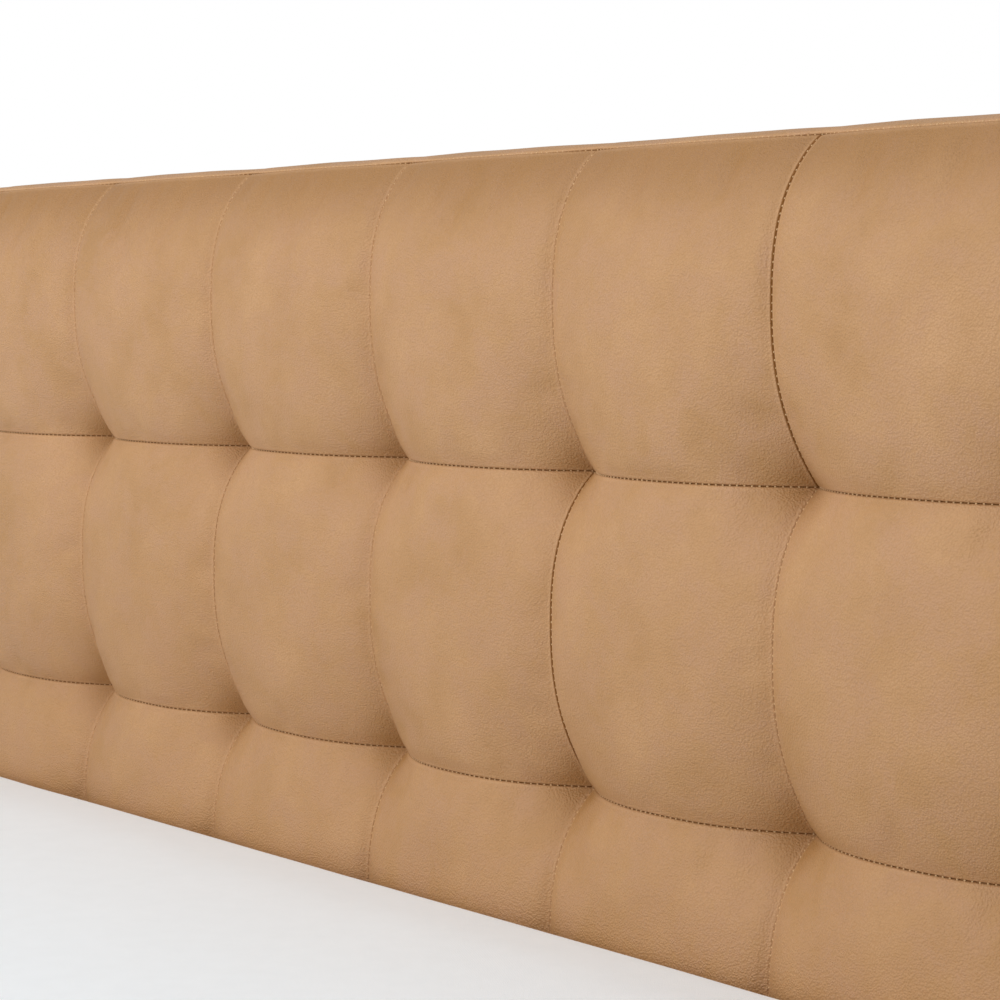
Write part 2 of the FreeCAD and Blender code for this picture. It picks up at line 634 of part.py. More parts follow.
def foot_corners():
    """Corner blocks and tapered legs with their bolts and T-nuts."""
    nodes = {"leg_bolts": [], "leg_t_nuts": []}
    holes = []
    screws = []
    z_block = Z_SKIRT + BLOCK_THICKNESS
    x_leg = X_RAIL_OUT - LEG_INSET - LEG_TOP_SIDE / 2
    y_leg = Y_FOOT_OUT + LEG_INSET + LEG_TOP_SIDE / 2
    for name, side in SIDES.items():
        corner = block(
            (side * (X_CORE - BLOCK_SIDE), Y_FOOT_CORE, Z_SKIRT),
            (side * X_CORE, Y_FOOT_CORE + BLOCK_SIDE, z_block),
        )
        nodes["foot_corner_block_" + name] = [corner]
        outlines = []
        for width, z in ((LEG_BOTTOM_SIDE, GLIDE_THICKNESS), (LEG_TOP_SIDE, LEG_HEIGHT)):
            x, y, h = side * x_leg, y_leg, width / 2
            corners = [(x - h, y - h), (x + h, y - h), (x + h, y + h), (x - h, y + h), (x - h, y - h)]
            outlines.append(Part.makePolygon([vector((a, b, z)) for a, b in corners]))
        leg = Part.makeLoft(outlines, True, True)
        upright = [e for e in leg.Edges if e.BoundBox.ZLength > LEG_HEIGHT / 2]
        nodes["foot_leg_" + name] = [leg.makeFillet(LEG_EDGE_RADIUS, upright)]
        start = (side * x_leg, y_leg, LEG_HEIGHT - LEG_BOLT_DEPTH)
        top = (side * x_leg, y_leg, z_block)
        end = step_along(top, (0, 0, 1), -STEEL)
        nodes["leg_bolts"].append(rod(BOLT_RADIUS, start, end))
        nodes["leg_t_nuts"].append(t_nut(top, (0, 0, -1)))
        holes.append(bolt_hole(start, (0, 0, 1), top[2] - start[2]))
        holes.append(t_nut_body(top, (0, 0, -1)))
        z = (Z_SKIRT + z_block) / 2
        for reach in BLOCK_SCREW_PLACES:
            side_seat = (side * (X_CORE - BLOCK_SCREW_DEPTH), Y_FOOT_CORE + reach, z)
            end_seat = (side * (X_CORE - reach), Y_FOOT_CORE + BLOCK_SCREW_DEPTH, z)
            length = BLOCK_SCREW_DEPTH + BLOCK_SCREW_GRIP
            for seat, way in ((side_seat, (side, 0, 0)), (end_seat, (0, -1, 0))):
                screws.append(screw(seat, way, length))
                mouth = step_along(seat, way, -BLOCK_SIDE)
                holes.append(rod(SCREW_HEAD_RADIUS, seat, mouth))
    return nodes, screws, holes, (x_leg, y_leg)


def glides(x_leg, y_leg):
    """Nail-on glides under the two head posts and the two foot legs."""
    x_post = X_FIELD - POST_WIDTH / 2
    y_post = Y_FRAME + FRAME_DEPTH / 2
    pieces = []
    holes = []
    for side in SIDES.values():
        for x, y in ((side * x_post, y_post), (side * x_leg, y_leg)):
            disc = rod(GLIDE_RADIUS, (x, y, 0), (x, y, GLIDE_THICKNESS))
            pin_end = (x, y, GLIDE_THICKNESS + GLIDE_PIN_LENGTH)
            pin = rod(GLIDE_PIN_RADIUS, (x, y, GLIDE_THICKNESS), pin_end)
            pieces.append(disc.fuse(pin))
            holes.append(pin)
    return {"glides": pieces}, holes


def centre_legs():
    """Tube legs under the beam, each on a threaded levelling foot."""
    nodes = {"centre_leg_inserts": []}
    screws = []
    bore = TUBE_RADIUS - TUBE_WALL
    for name, end in ENDS.items():
        y = end * CENTRE_LEG_OFFSET
        half = TUBE_PLATE_SIDE / 2
        tube = rod(TUBE_RADIUS, (0, y, TUBE_BOTTOM), (0, y, Z_TUBE_PLATE))
        tube = tube.cut(rod(bore, (0, y, TUBE_BOTTOM), (0, y, Z_TUBE_PLATE)))
        plate = block((-half, y - half, Z_TUBE_PLATE), (half, y + half, Z_BEAM))
        nodes["centre_leg_tube_" + name] = [tube.fuse(plate).removeSplitter()]
        for dy in (-1, 1):
            seat = (0, y + dy * (half + TUBE_RADIUS) / 2, Z_TUBE_PLATE)
            screws.append(screw(seat, (0, 0, 1), STEEL + SCREW_GRIP))

        insert = rod(bore, (0, y, TUBE_BOTTOM), (0, y, TUBE_BOTTOM + INSERT_LENGTH))
        thread = rod(
            STUD_RADIUS + RUNNING_CLEARANCE, (0, y, 0), (0, y, TUBE_BOTTOM + INSERT_LENGTH)
        )
        nodes["centre_leg_inserts"].append(insert.cut(thread))

        z_nut = PAD_HEIGHT + SHOULDER_GAP
        z_shank = z_nut + STUD_NUT_HEIGHT
        nut = hexagon_nut((0, y, z_nut), STUD_NUT_RADIUS, STUD_NUT_HEIGHT)
        shank = rod(STUD_RADIUS, (0, y, z_shank), (0, y, STUD_TOP))
        spigot = rod(STUD_SPIGOT_RADIUS, (0, y, z_nut - STUD_SPIGOT_LENGTH), (0, y, z_nut))
        nodes["leveller_stud_" + name] = [nut.fuse([shank, spigot])]

        rim = rod(PAD_RADIUS, (0, y, 0), (0, y, PAD_RIM))
        crown = Part.makeCone(
            PAD_RADIUS, PAD_TOP_RADIUS, PAD_HEIGHT - PAD_RIM, vector((0, y, PAD_RIM))
        )
        socket_floor = z_nut - STUD_SPIGOT_LENGTH - SHOULDER_GAP
        socket = rod(
            STUD_SPIGOT_RADIUS + RUNNING_CLEARANCE, (0, y, socket_floor), (0, y, PAD_HEIGHT)
        )
        nodes["leveller_pad_" + name] = [rim.fuse(crown).cut(socket)]
    return nodes, screws


def mattress():
    """Ticking as a closed shell around a foam core."""

    def body(inset):
        half = MATTRESS_WIDTH / 2 - inset
        form = block(
            (-half, Y_MATTRESS_FOOT + inset, Z_MATTRESS + inset),
            (half, Y_MATTRESS_HEAD - inset, Z_MATTRESS + MATTRESS_HEIGHT - inset),
        )
        form = form.makeFillet(MATTRESS_CORNER_RADIUS - inset, edges_along(form, (0, 0, 1)))
        rims = edges_in_plane(form, (0, 0, 1), Z_MATTRESS + inset)
        rims += edges_in_plane(form, (0, 0, 1), Z_MATTRESS + MATTRESS_HEIGHT - inset)
        return form.makeFillet(MATTRESS_EDGE_RADIUS - inset, rims)

    core = body(TICKING_THICKNESS)
    return {"mattress_cover": [body(0).cut(core)], "mattress_core": [core]}


def build():
    """Every node's solids, with their holes."""
    tufts, tie_holes = tufting()
    fittings, fitting_holes = corner_fittings()
    slats, ledger_screws = slat_base()
    beam, hanger_screws = centre_beam()
    corners, block_screws, corner_holes, leg_place = foot_corners()
    feet, pin_holes = glides(*leg_place)
    legs, plate_screws = centre_legs()
    timber = headboard_timber()
    rail_screws = ledger_screws + hanger_screws + block_screws + plate_screws

    hardware = dict(tufts)
    brackets = {name: fittings.pop(name) for name in ("head_brackets", "foot_brackets")}
    hardware.update(fittings)
    hardware.update(feet)
    hardware["rail_screws"] = rail_screws
    hardware["headboard_panel_screws"] = timber.pop("headboard_panel_screws")
    hardware["headboard_frame_dowels"] = timber.pop("headboard_frame_dowels")
    for name in ("leg_bolts", "leg_t_nuts"):
        hardware[name] = corners.pop(name)
    hardware["slat_screws"] = slats.pop("slat_screws")
    for name in ("leveller_stud", "leveller_pad"):
        for end in ENDS:
            hardware[name + "_" + end] = legs.pop(name + "_" + end)

    holes = tie_holes + fitting_holes + corner_holes + pin_holes + rail_screws
    holes += hardware["headboard_panel_screws"] + hardware["headboard_frame_dowels"]
    holes += hardware["slat_screws"]

    bored = {**timber, **headboard_upholstery(), **side_rails(), **foot_rail()}
    bored.update({**brackets, **slats, **beam, **corners, **legs})
    nodes = {name: [drilled(piece, holes) for piece in pieces] for name, pieces in bored.items()}
    nodes.update(hardware)
    nodes.update(mattress())
    return nodes


os.makedirs("parts", exist_ok=True)
for node, pieces in build().items():
    shape = pieces[0] if len(pieces) == 1 else Part.makeCompound(pieces)
    shape.exportStep("parts/" + node + ".step")
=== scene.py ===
import math

import bmesh
import bpy
import numpy as np
from bpy.props import FloatProperty, FloatVectorProperty, IntProperty, PointerProperty
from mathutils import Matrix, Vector


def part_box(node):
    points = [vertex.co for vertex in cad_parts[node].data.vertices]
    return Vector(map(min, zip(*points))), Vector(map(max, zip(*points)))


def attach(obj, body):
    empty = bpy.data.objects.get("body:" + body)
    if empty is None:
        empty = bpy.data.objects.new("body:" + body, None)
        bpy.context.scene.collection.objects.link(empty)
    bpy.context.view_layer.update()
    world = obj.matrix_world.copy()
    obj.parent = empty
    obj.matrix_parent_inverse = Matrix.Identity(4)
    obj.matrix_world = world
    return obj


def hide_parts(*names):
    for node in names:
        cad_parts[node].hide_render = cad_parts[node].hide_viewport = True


bl_info = {
    "name": "Tufted Bed Upholstery",
    "version": (1, 0, 0),
    "blender": (4, 5, 0),
    "location": "View3D > Sidebar > Bed",
    "description": "Dresses a bed frame in box-tufted leather, padded rails and a mattress",
    "category": "Add Mesh",
}

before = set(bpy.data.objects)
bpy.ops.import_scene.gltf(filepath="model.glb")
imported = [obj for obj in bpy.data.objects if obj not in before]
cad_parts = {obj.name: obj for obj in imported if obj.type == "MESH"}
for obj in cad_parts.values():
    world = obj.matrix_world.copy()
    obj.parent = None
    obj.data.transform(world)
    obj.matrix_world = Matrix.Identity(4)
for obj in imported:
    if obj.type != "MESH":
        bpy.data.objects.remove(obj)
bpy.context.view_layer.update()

FRAME_BODY = "bed_frame"
MATTRESS_BODY = "mattress"
SIDES = {"left": -1.0, "right": 1.0}

FIELD_LOW, FIELD_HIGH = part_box("headboard_foam")
BOXING_LOW, BOXING_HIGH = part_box("headboard_top_boxing")
SKIRT_LOW, SKIRT_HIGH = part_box("headboard_skirt_cover")
PULL_Y = BOXING_LOW.y
BACK_Y = BOXING_HIGH.y
EDGE_ROLL = BOXING_HIGH.z - FIELD_HIGH.z
LEATHER_THICKNESS = BOXING_HIGH.z - BOXING_LOW.z
FIELD_BOTTOM = FIELD_LOW.z - LEATHER_THICKNESS

# Seams
RISE_SEED = 11
SEAM_SEED = 102136
SEAM_END = 0.005
ARCH_POWER = 2.5
UPRIGHT_FULLNESS = 0.9
HEM_FADE = 0.025
# The seam marks paint a highlight on the leather lips beside each seam and shade in its groove; the upright
# and edge numbers below set their strength.
MARK_REACH = 0.0045
MARK_POWER = 1.5
UPRIGHT_MARK_LEAST, UPRIGHT_MARK_RANGE = 0.84, 0.66
EDGE_MARK = 1.5

# Painted shade in the leather's colour: in the pull pockets (partly darker dye there too), along the top seam
# and over the lower rows
PULL_SHADE_REACH = 0.022
TOP_SHADE_REACH = 0.040
LOWER_ROW_SHADE = 0.26

# Cloth solver
CLOTH_CELLS = 20
CLOTH_SHIFT_LIMIT = 0.005
CLOTH_MASS = 0.4
GRAVITY = -9.81

# Edges
HEADBOARD_CORNER = 0.012
BOXING_BACK_CORNER = 0.004
BOXING_LIFT_FADE = 0.005
BOXING_QUICK_SHARE, BOXING_CREST_SHARE = 0.45, 0.55
BOXING_CREST_START, BOXING_CREST_LENGTH = 0.016, 0.034
STITCH_LIFT = 0.0012
FOAM_INSET = 0.003
FOAM_GAP = 0.0045
PANEL_INSET = 0.0035
SKIRT_TURN = 0.006
RAIL_LOW_EDGE = 0.008
RAIL_END_CORNER = 0.016
RAIL_FLAP = 0.043
RAIL_SEAM_DROP = 0.006
RAIL_FACE_DEPTH = 0.012
TOP_STITCH_DROP = 0.006
FAR_FROM_SEAM = 0.05

# Mattress
MATTRESS_MARGIN = 0.005
MATTRESS_CORNER = 0.045
MATTRESS_RIM = 0.012
MATTRESS_CELLS = (60, 78, 16)
MATTRESS_HELD_HEIGHT = 0.03
PIPING_BELOW_TOP, PIPING_ABOVE_BOTTOM = 0.030, 0.022


def length(label, description, default):
    return FloatProperty(name=label, description=description, default=default, unit="LENGTH")


def dye(label, description, default):
    return FloatVectorProperty(name=label, description=description, default=default, subtype="COLOR")


class TuftSettings(bpy.types.PropertyGroup):
    """Sizes of the sewn tiles of the headboard."""

    columns: IntProperty(name="Tile columns", description="Tiles across the headboard", default=8, min=2)
    rows: IntProperty(name="Tile rows", description="Tiles from the mattress to the top", default=3, min=1)
    crown: length("Crown", "How far free foam would stand in front of the pull points", 0.048)
    seam_rise: length("Seam rise", "How far the middle of a seam arches in front of its pull points", 0.036)
    seam_spread: length("Seam spread", "Greatest difference of one seam's rise from the others", 0.003)
    edge_rise: length("Edge rise", "How far the outer seams arch between the tile seams", 0.012)
    hem_rise: length("Hem rise", "How far the lowest seam arches in front of the skirt", 0.005)
    softness: length("Softness", "Distance over which a seam's pull fades into the foam", 0.036)
    lip_radius: length("Lip radius", "Radius of the folded leather edge on each side of a seam", 0.0021)
    upright_lip: length("Upright lip", "Radius of the tighter folded edge along the upright seams", 0.0012)
    slack: FloatProperty(
        name="Slack", description="Share of extra leather in each tile", default=0.012, min=0.0, max=0.1
    )


class StitchSettings(bpy.types.PropertyGroup):
    """Sizes of the sewing thread."""

    pitch: length("Pitch", "Length of one stitch", 0.0047)
    thread: length("Thread", "Width of the thread", 0.0009)


class RailSettings(bpy.types.PropertyGroup):
    """Softness of the padded rails."""

    edge_radius: length("Edge radius", "Rounding of the rail's top edges", 0.014)
    bulge: length("Bulge", "How far the padding stands out mid-height", 0.0025)


class MattressSettings(bpy.types.PropertyGroup):
    """Softness of the mattress."""

    pressure: FloatProperty(name="Pressure", description="Pressure that crowns the ticking", default=2.0)
    swell: length("Swell", "Farthest that a point may move", 0.008)
    piping: length("Piping", "Radius of the taped edges", 0.0045)


class FinishSettings(bpy.types.PropertyGroup):
    """Colours of the visible finishes."""

    leather: dye("Leather", "Tan leather", (0.492, 0.272, 0.121))
    thread: dye("Thread", "Sewing thread", (0.56, 0.36, 0.18))
    ticking: dye("Ticking", "Mattress fabric", (0.885, 0.94, 0.98))
    stained_wood: dye("Stained wood", "Legs", (0.115, 0.06, 0.034))


class StageSettings(bpy.types.PropertyGroup):
    """Camera and light."""

    camera_place: FloatVectorProperty(
        name="Camera place",
        description="Where the camera stands",
        subtype="XYZ",
        default=(1.589, -0.107, 1.030),
    )
    heading: FloatProperty(
        name="Heading",
        description="Turn of the view to the left of the bed's length",
        default=math.radians(52.55),
        subtype="ANGLE",
    )
    tilt: FloatProperty(
        name="Tilt", description="Downward tilt of the view", default=math.radians(3.95), subtype="ANGLE"
    )
    lens: FloatProperty(name="Lens", description="Focal length in millimetres", default=100.5)
    key_power: FloatProperty(name="Key light", description="Power of the large soft light", default=39.5)
    overhead_power: FloatProperty(
        name="Overhead light", description="Power of the light above the mattress", default=29.0
    )
    fill_power: FloatProperty(name="Fill light", description="Power of the side light", default=9.0)
    sky: FloatProperty(name="Sky", description="Strength of the even white surroundings", default=0.53)


def settings(group):
    return getattr(bpy.context.scene, "bed_" + group)


# Shapes


def tile_steps(span, middle_cells=26, first=0.0005, growth=1.42, count=8):
    """Distances from a tile's edge to its grid lines, closest near the seams."""
    near = first * growth ** np.arange(count)
    middle = np.full(middle_cells, (span - 2 * near.sum()) / middle_cells)
    steps = np.concatenate([near, middle, near[::-1]])
    return np.concatenate([[0.0], np.cumsum(steps)])


def even_steps(span, cells):
    return np.linspace(0.0, span, cells + 1)


def second_difference(places):
    """Matrix of second differences at the inner points of an uneven row."""
    gaps = np.diff(places)
    inner = len(places) - 2
    matrix = np.zeros((inner, inner + 2))
    for i in range(inner):
        before, after = gaps[i], gaps[i + 1]
        matrix[i, i] = 2 / (before * (before + after))
        matrix[i, i + 2] = 2 / (after * (before + after))
        matrix[i, i + 1] = -matrix[i, i] - matrix[i, i + 2]
    return matrix


def stretched_skin(across, up, edge, rest, softness):
    """Height of a skin over springy foam whose edges are held at given heights.

    across and up are the grid lines of one tile, and edge is an array of its
    heights, of which only the outer rows and columns are read.
    """
    dx, dz = second_difference(across), second_difference(up)
    pull = 1 / softness**2
    load = np.full((len(across) - 2, len(up) - 2), -rest * pull)
    load -= np.outer(dx[:, 0], edge[0, 1:-1]) + np.outer(dx[:, -1], edge[-1, 1:-1])
    load -= np.outer(edge[1:-1, 0], dz[:, 0]) + np.outer(edge[1:-1, -1], dz[:, -1])
    value_x, vector_x = np.linalg.eig(dx[:, 1:-1])
    value_z, vector_z = np.linalg.eig(dz[:, 1:-1])
    turned = np.linalg.solve(vector_x, load) @ np.linalg.inv(vector_z).T
    turned /= value_x[:, None] + value_z[None, :] - pull
    height = edge.copy()
    height[1:-1, 1:-1] = np.real(vector_x @ turned @ vector_z.T)
    return height


def arch(share):
    """Rise of a seam between two pull points, from 0 at each to 1 in the middle."""
    return 1 - np.abs(1 - 2 * share) ** ARCH_POWER


def hanging_arch(share):
    """Rise of an upright seam, a little fuller below its upper pull point."""
    return arch(np.clip(share, 0, 1) ** UPRIGHT_FULLNESS)


def seam_heights():
    """Greatest rise of every upright and level seam of the tile field."""
    tuft = settings("tuft")
    spread = np.random.default_rng(RISE_SEED)
    upright = tuft.seam_rise + tuft.seam_spread * spread.uniform(-1, 1, (tuft.columns + 1, tuft.rows))
    level = tuft.seam_rise + tuft.seam_spread * spread.uniform(-1, 1, (tuft.columns, tuft.rows + 1))
    upright[0] = upright[-1] = tuft.edge_rise
    level[:, -1] = tuft.edge_rise
    level[:, 0] = tuft.hem_rise
    return upright, level


def hem_step(z):
    """How far the leather stands in front of the pull points where it meets the skirt."""
    above = np.clip(np.asarray(z) - FIELD_BOTTOM, 0, None)
    return (PULL_Y - SKIRT_LOW.y) * np.exp(-above / HEM_FADE)


def field_spans():
    """Width and height of one tile, and the field's lower left corner."""
    tuft = settings("tuft")
    corner = Vector((FIELD_LOW.x, 0, FIELD_BOTTOM))
    width = (FIELD_HIGH.x - FIELD_LOW.x) / tuft.columns
    height = (FIELD_HIGH.z - corner.z) / tuft.rows
    return width, height, corner


def tile_field(across, up):
    """Grid places and heights of the whole field from the grid lines of one tile."""
    tuft = settings("tuft")
    width, height, corner = field_spans()
    upright, level = seam_heights()
    nx, nz = len(across) - 1, len(up) - 1
    rise = np.zeros((nx * tuft.columns + 1, nz * tuft.rows + 1))
    for i in range(tuft.columns):
        for j in range(tuft.rows):
            edge = np.zeros((nx + 1, nz + 1))
            from_top = 1 - up / height
            edge[0] = upright[i, j] * hanging_arch(from_top)
            edge[-1] = upright[i + 1, j] * hanging_arch(from_top)
            edge[:, 0] = level[i, j] * arch(across / width)
            edge[:, -1] = level[i, j + 1] * arch(across / width)
            tile = stretched_skin(across, up, edge, tuft.crown, tuft.softness)
            rise[i * nx : (i + 1) * nx + 1, j * nz : (j + 1) * nz + 1] = tile
    x = np.concatenate([corner.x + width * i + across[:-1] for i in range(tuft.columns)] + [[FIELD_HIGH.x]])
    z = np.concatenate([corner.z + height * j + up[:-1] for j in range(tuft.rows)] + [[FIELD_HIGH.z]])
    return x, z, rise + hem_step(z)[None, :]


def distance_to_lines(places, lines):
    return np.abs(places[:, None] - np.asarray(lines)[None, :]).min(axis=1)


def lip_drop(distance, radius):
    """Depth of a folded leather edge below the surface at a distance from its seam."""
    share = np.clip(1 - distance / radius, 0, 1)
    return radius * (1 - np.sqrt(1 - share**2))


def seam_mark(distance):
    """Strength from 1 on a seam to 0 at its reach, for the painted highlight on a seam's lips and the painted
    shade in its groove.
    """
    return np.clip(1 - distance / MARK_REACH, 0, 1) ** MARK_POWER


def cubic_weights(fine, coarse):
    """Matrix that carries values from coarse places to fine ones by smooth curves."""
    cell = np.clip(np.searchsorted(coarse, fine, side="right") - 1, 0, len(coarse) - 2)
    t = (fine - coarse[cell]) / (coarse[cell + 1] - coarse[cell])
    parts = (
        -0.5 * t + t**2 - 0.5 * t**3,
        1 - 2.5 * t**2 + 1.5 * t**3,
        0.5 * t + 2 * t**2 - 1.5 * t**3,
        -0.5 * t**2 + 0.5 * t**3,
    )
    matrix = np.zeros((len(fine), len(coarse)))
    for offset, part in zip((-1, 0, 1, 2), parts):
        column = np.clip(cell + offset, 0, len(coarse) - 1)
        np.add.at(matrix, (np.arange(len(fine)), column), part)
    return matrix


def soft_noise(points, size, seed):
    """Smooth seeded waviness from -1 to 1 that changes over a given size."""
    waves = np.random.default_rng(seed)
    total = np.zeros(points.shape[:-1])
    for _ in range(9):
        way = waves.normal(size=3)
        way /= np.linalg.norm(way)
        pace = 2 * math.pi / (size * waves.uniform(0.7, 1.6))
        total += np.sin(points @ way * pace + waves.uniform(0, 2 * math.pi))
    return total / 4.5


def round_headboard(points):
    """Rounds the two upper corners of the headboard's outline."""
    half_width, top, radius = BOXING_HIGH.x, BOXING_HIGH.z, HEADBOARD_CORNER
    dx = np.abs(points[..., 0]) - (half_width - radius)
    dz = points[..., 2] - (top - radius)
    corner = (dx > 0) & (dz > 0)
    reach = np.hypot(dx, dz) + 1e-12
    scale = np.where(corner, np.maximum(dx, dz) / reach, 1.0)
    moved = points.copy()
    across = np.sign(points[..., 0]) * (half_width - radius + dx * scale)
    moved[..., 0] = np.where(corner, across, points[..., 0])
    moved[..., 2] = np.where(corner, top - radius + dz * scale, points[..., 2])
    return moved


def corner_inset(distance, radius):
    """How far a rounded corner lies inside a square one, at a distance from its end."""
    inset = radius - np.sqrt(np.clip(radius**2 - (radius - distance) ** 2, 0, None))
    return np.where(distance < radius, inset, 0)


def grid_faces(rows, columns):
    """Quads of a sheet of points laid out in rows and columns."""
    index = np.arange(rows * columns).reshape(rows, columns)
    quads = np.stack([index[:-1, :-1], index[1:, :-1], index[1:, 1:], index[:-1, 1:]], axis=-1)
    return quads.reshape(-1, 4)


def new_piece(name, points, faces):
    """A smooth-shaded object at the origin with its place in its mesh."""
    mesh = bpy.data.meshes.new(name)
    mesh.from_pydata(np.asarray(points, float).reshape(-1, 3).tolist(), [], np.asarray(faces).tolist())
    mesh.shade_smooth()
    piece = bpy.data.objects.new(name, mesh)
    bpy.context.scene.collection.objects.link(piece)
    return piece


def new_sheet(name, points, outward):
    """A sheet from a grid of points, with its faces turned towards outward."""
    rows, columns = points.shape[:2]
    faces = grid_faces(rows, columns)
    span_a = points[1:, :-1] - points[:-1, :-1]
    span_b = points[:-1, 1:] - points[:-1, :-1]
    if (np.cross(span_a, span_b) @ np.asarray(outward, float)).sum() < 0:
        faces = faces[:, ::-1]
    return new_piece(name, points, faces)


def set_attribute(piece, name, values):
    attribute = piece.data.attributes.new(name, "FLOAT", "POINT")
    attribute.data.foreach_set("value", np.asarray(values, np.float32).ravel())


def thicken(piece, thickness):
    """Gives a sheet its thickness on the inner side and makes that final."""
    wall = piece.modifiers.new("wall", "SOLIDIFY")
    wall.thickness = thickness
    wall.offset = -1.0
    apply_modifiers(piece)


def apply_modifiers(piece):
    """Turns a piece's modifiers into its plain mesh."""
    bpy.context.view_layer.update()
    evaluated = piece.evaluated_get(bpy.context.evaluated_depsgraph_get())
    plain = bpy.data.meshes.new_from_object(evaluated)
    piece.modifiers.clear()
    old = piece.data
    piece.data = plain
    bpy.data.meshes.remove(old)
    plain.name = piece.name


def mesh_points(mesh):
    points = np.empty(len(mesh.vertices) * 3)
    mesh.vertices.foreach_get("co", points)
    return points.reshape(-1, 3)


def drape(piece, held, force, slack, frames=20, pressure=0.0):
    """Where the cloth solver takes a piece's points. held marks fixed ones."""
    scene = bpy.context.scene
    group = piece.vertex_groups.new(name="held")
    group.add([int(i) for i in np.flatnonzero(held)], 1.0, "REPLACE")
    cloth = piece.modifiers.new("cloth", "CLOTH")
    leather = cloth.settings
    leather.quality = 6
    leather.mass = CLOTH_MASS
    leather.tension_stiffness = 25
    leather.compression_stiffness = 25
    leather.shear_stiffness = 12
    leather.bending_stiffness = 2.5
    leather.tension_damping = 12
    leather.compression_damping = 12
    leather.shear_damping = 12
    leather.air_damping = 2
    leather.vertex_group_mass = "held"
    leather.shrink_min = -slack
    if pressure:
        leather.use_pressure = True
        leather.uniform_pressure_force = pressure
    cloth.point_cache.frame_start = 1
    cloth.point_cache.frame_end = frames
    gravity = scene.gravity.copy()
    scene.gravity = force
    for step in range(1, frames + 1):
        scene.frame_set(step)
    evaluated = piece.evaluated_get(bpy.context.evaluated_depsgraph_get())
    settled = mesh_points(evaluated.data)
    piece.modifiers.remove(cloth)
    scene.gravity = gravity
    scene.frame_set(1)
    return settled


def capped(shift, limit):
    """Shifts no longer than a limit."""
    length = np.linalg.norm(shift, axis=-1, keepdims=True)
    return shift * np.minimum(1, limit / np.maximum(length, 1e-9))


def discard(piece):
    mesh = piece.data
    bpy.data.objects.remove(piece)
    bpy.data.meshes.remove(mesh)


def settle_leather(x, z):
    """How simulated leather creases between its held seams, on a given grid."""
    tuft = settings("tuft")
    width, height, _ = field_spans()
    coarse_x, coarse_z, rise = tile_field(even_steps(width, CLOTH_CELLS), even_steps(height, CLOTH_CELLS))
    points = np.stack(np.broadcast_arrays(coarse_x[:, None], PULL_Y - rise, coarse_z[None, :]), axis=-1)
    held = np.zeros(rise.shape, bool)
    held[::CLOTH_CELLS] = True
    held[:, ::CLOTH_CELLS] = True
    trial = new_sheet("leather_trial", points, (0, -1, 0))
    settled = drape(trial, held.ravel(), (0, GRAVITY, 0), tuft.slack).reshape(points.shape)
    discard(trial)
    shift = capped(settled - points, CLOTH_SHIFT_LIMIT)
    shift[held] = 0
    to_x, to_z = cubic_weights(x, coarse_x), cubic_weights(z, coarse_z)
    return np.stack([to_x @ shift[..., axis] @ to_z.T for axis in range(3)], axis=-1)


# Shader groups


def socket(tree, name, kind, default=None, output=False):
    made = tree.interface.new_socket(
        name=name, in_out="OUTPUT" if output else "INPUT", socket_type="NodeSocket" + kind
    )
    if default is not None:
        made.default_value = default
    return made


def shader_group(name, inputs, outputs):
    tree = bpy.data.node_groups.new(name, "ShaderNodeTree")
    for label, default in inputs.items():
        kind = "Color" if hasattr(default, "__len__") else "Float"
        socket(tree, label, kind, default)
    for label, kind in outputs.items():
        socket(tree, label, kind, output=True)
    return tree, tree.nodes.new("NodeGroupInput"), tree.nodes.new("NodeGroupOutput")


def add_node(tree, kind, **values):
    """A node with its properties set, and sockets set by name in inputs."""
    node = tree.nodes.new(kind)
    inputs = values.pop("inputs", {})
    for key, value in values.items():
        setattr(node, key, value)
    for key, value in inputs.items():
        if isinstance(value, bpy.types.NodeSocket):
            tree.links.new(value, node.inputs[key])
        else:
            node.inputs[key].default_value = value
    return node


def noise(tree, vector, scale, detail=3.0, roughness=0.55, distortion=0.0):
    given = {"Vector": vector, "Scale": scale, "Detail": detail, "Roughness": roughness}
    given["Distortion"] = distortion
    return add_node(tree, "ShaderNodeTexNoise", inputs=given).outputs["Fac"]


def maths(tree, operation, first, second=0.0):
    return add_node(tree, "ShaderNodeMath", operation=operation, inputs={0: first, 1: second}).outputs[0]


def remap(tree, value, low, high, new_low=0.0, new_high=1.0):
    given = {"Value": value, "From Min": low, "From Max": high, "To Min": new_low, "To Max": new_high}
    return add_node(tree, "ShaderNodeMapRange", inputs=given).outputs["Result"]


def mix_colour(tree, share, first, second):
    node = add_node(tree, "ShaderNodeMix", data_type="RGBA", inputs={0: share, 6: first, 7: second})
    return node.outputs[2]


def part_mix(tree, mask, strength, first, second):
    """Mixes towards the second colour by a mask at part strength."""
    return mix_colour(tree, maths(tree, "MULTIPLY", mask, strength), first, second)


def give(tree, node, **values):
    """Links values to a node's sockets by name."""
    for label, value in values.items():
        tree.links.new(value, node.inputs[label.replace("_", " ")])


def object_place(tree, scale=(1, 1, 1)):
    place = tree.nodes.new("ShaderNodeTexCoord").outputs["Object"]
    mapping = add_node(tree, "ShaderNodeMapping", inputs={"Vector": place, "Scale": scale})
    return mapping.outputs["Vector"]


def colour(value):
    return (*value, 1.0)


def tinted(base, *factors):
    """A colour with its channels scaled by one factor or three, at most 1."""
    return colour([min(c * f, 1.0) for c, f in zip(base, factors * (3 // len(factors)))])


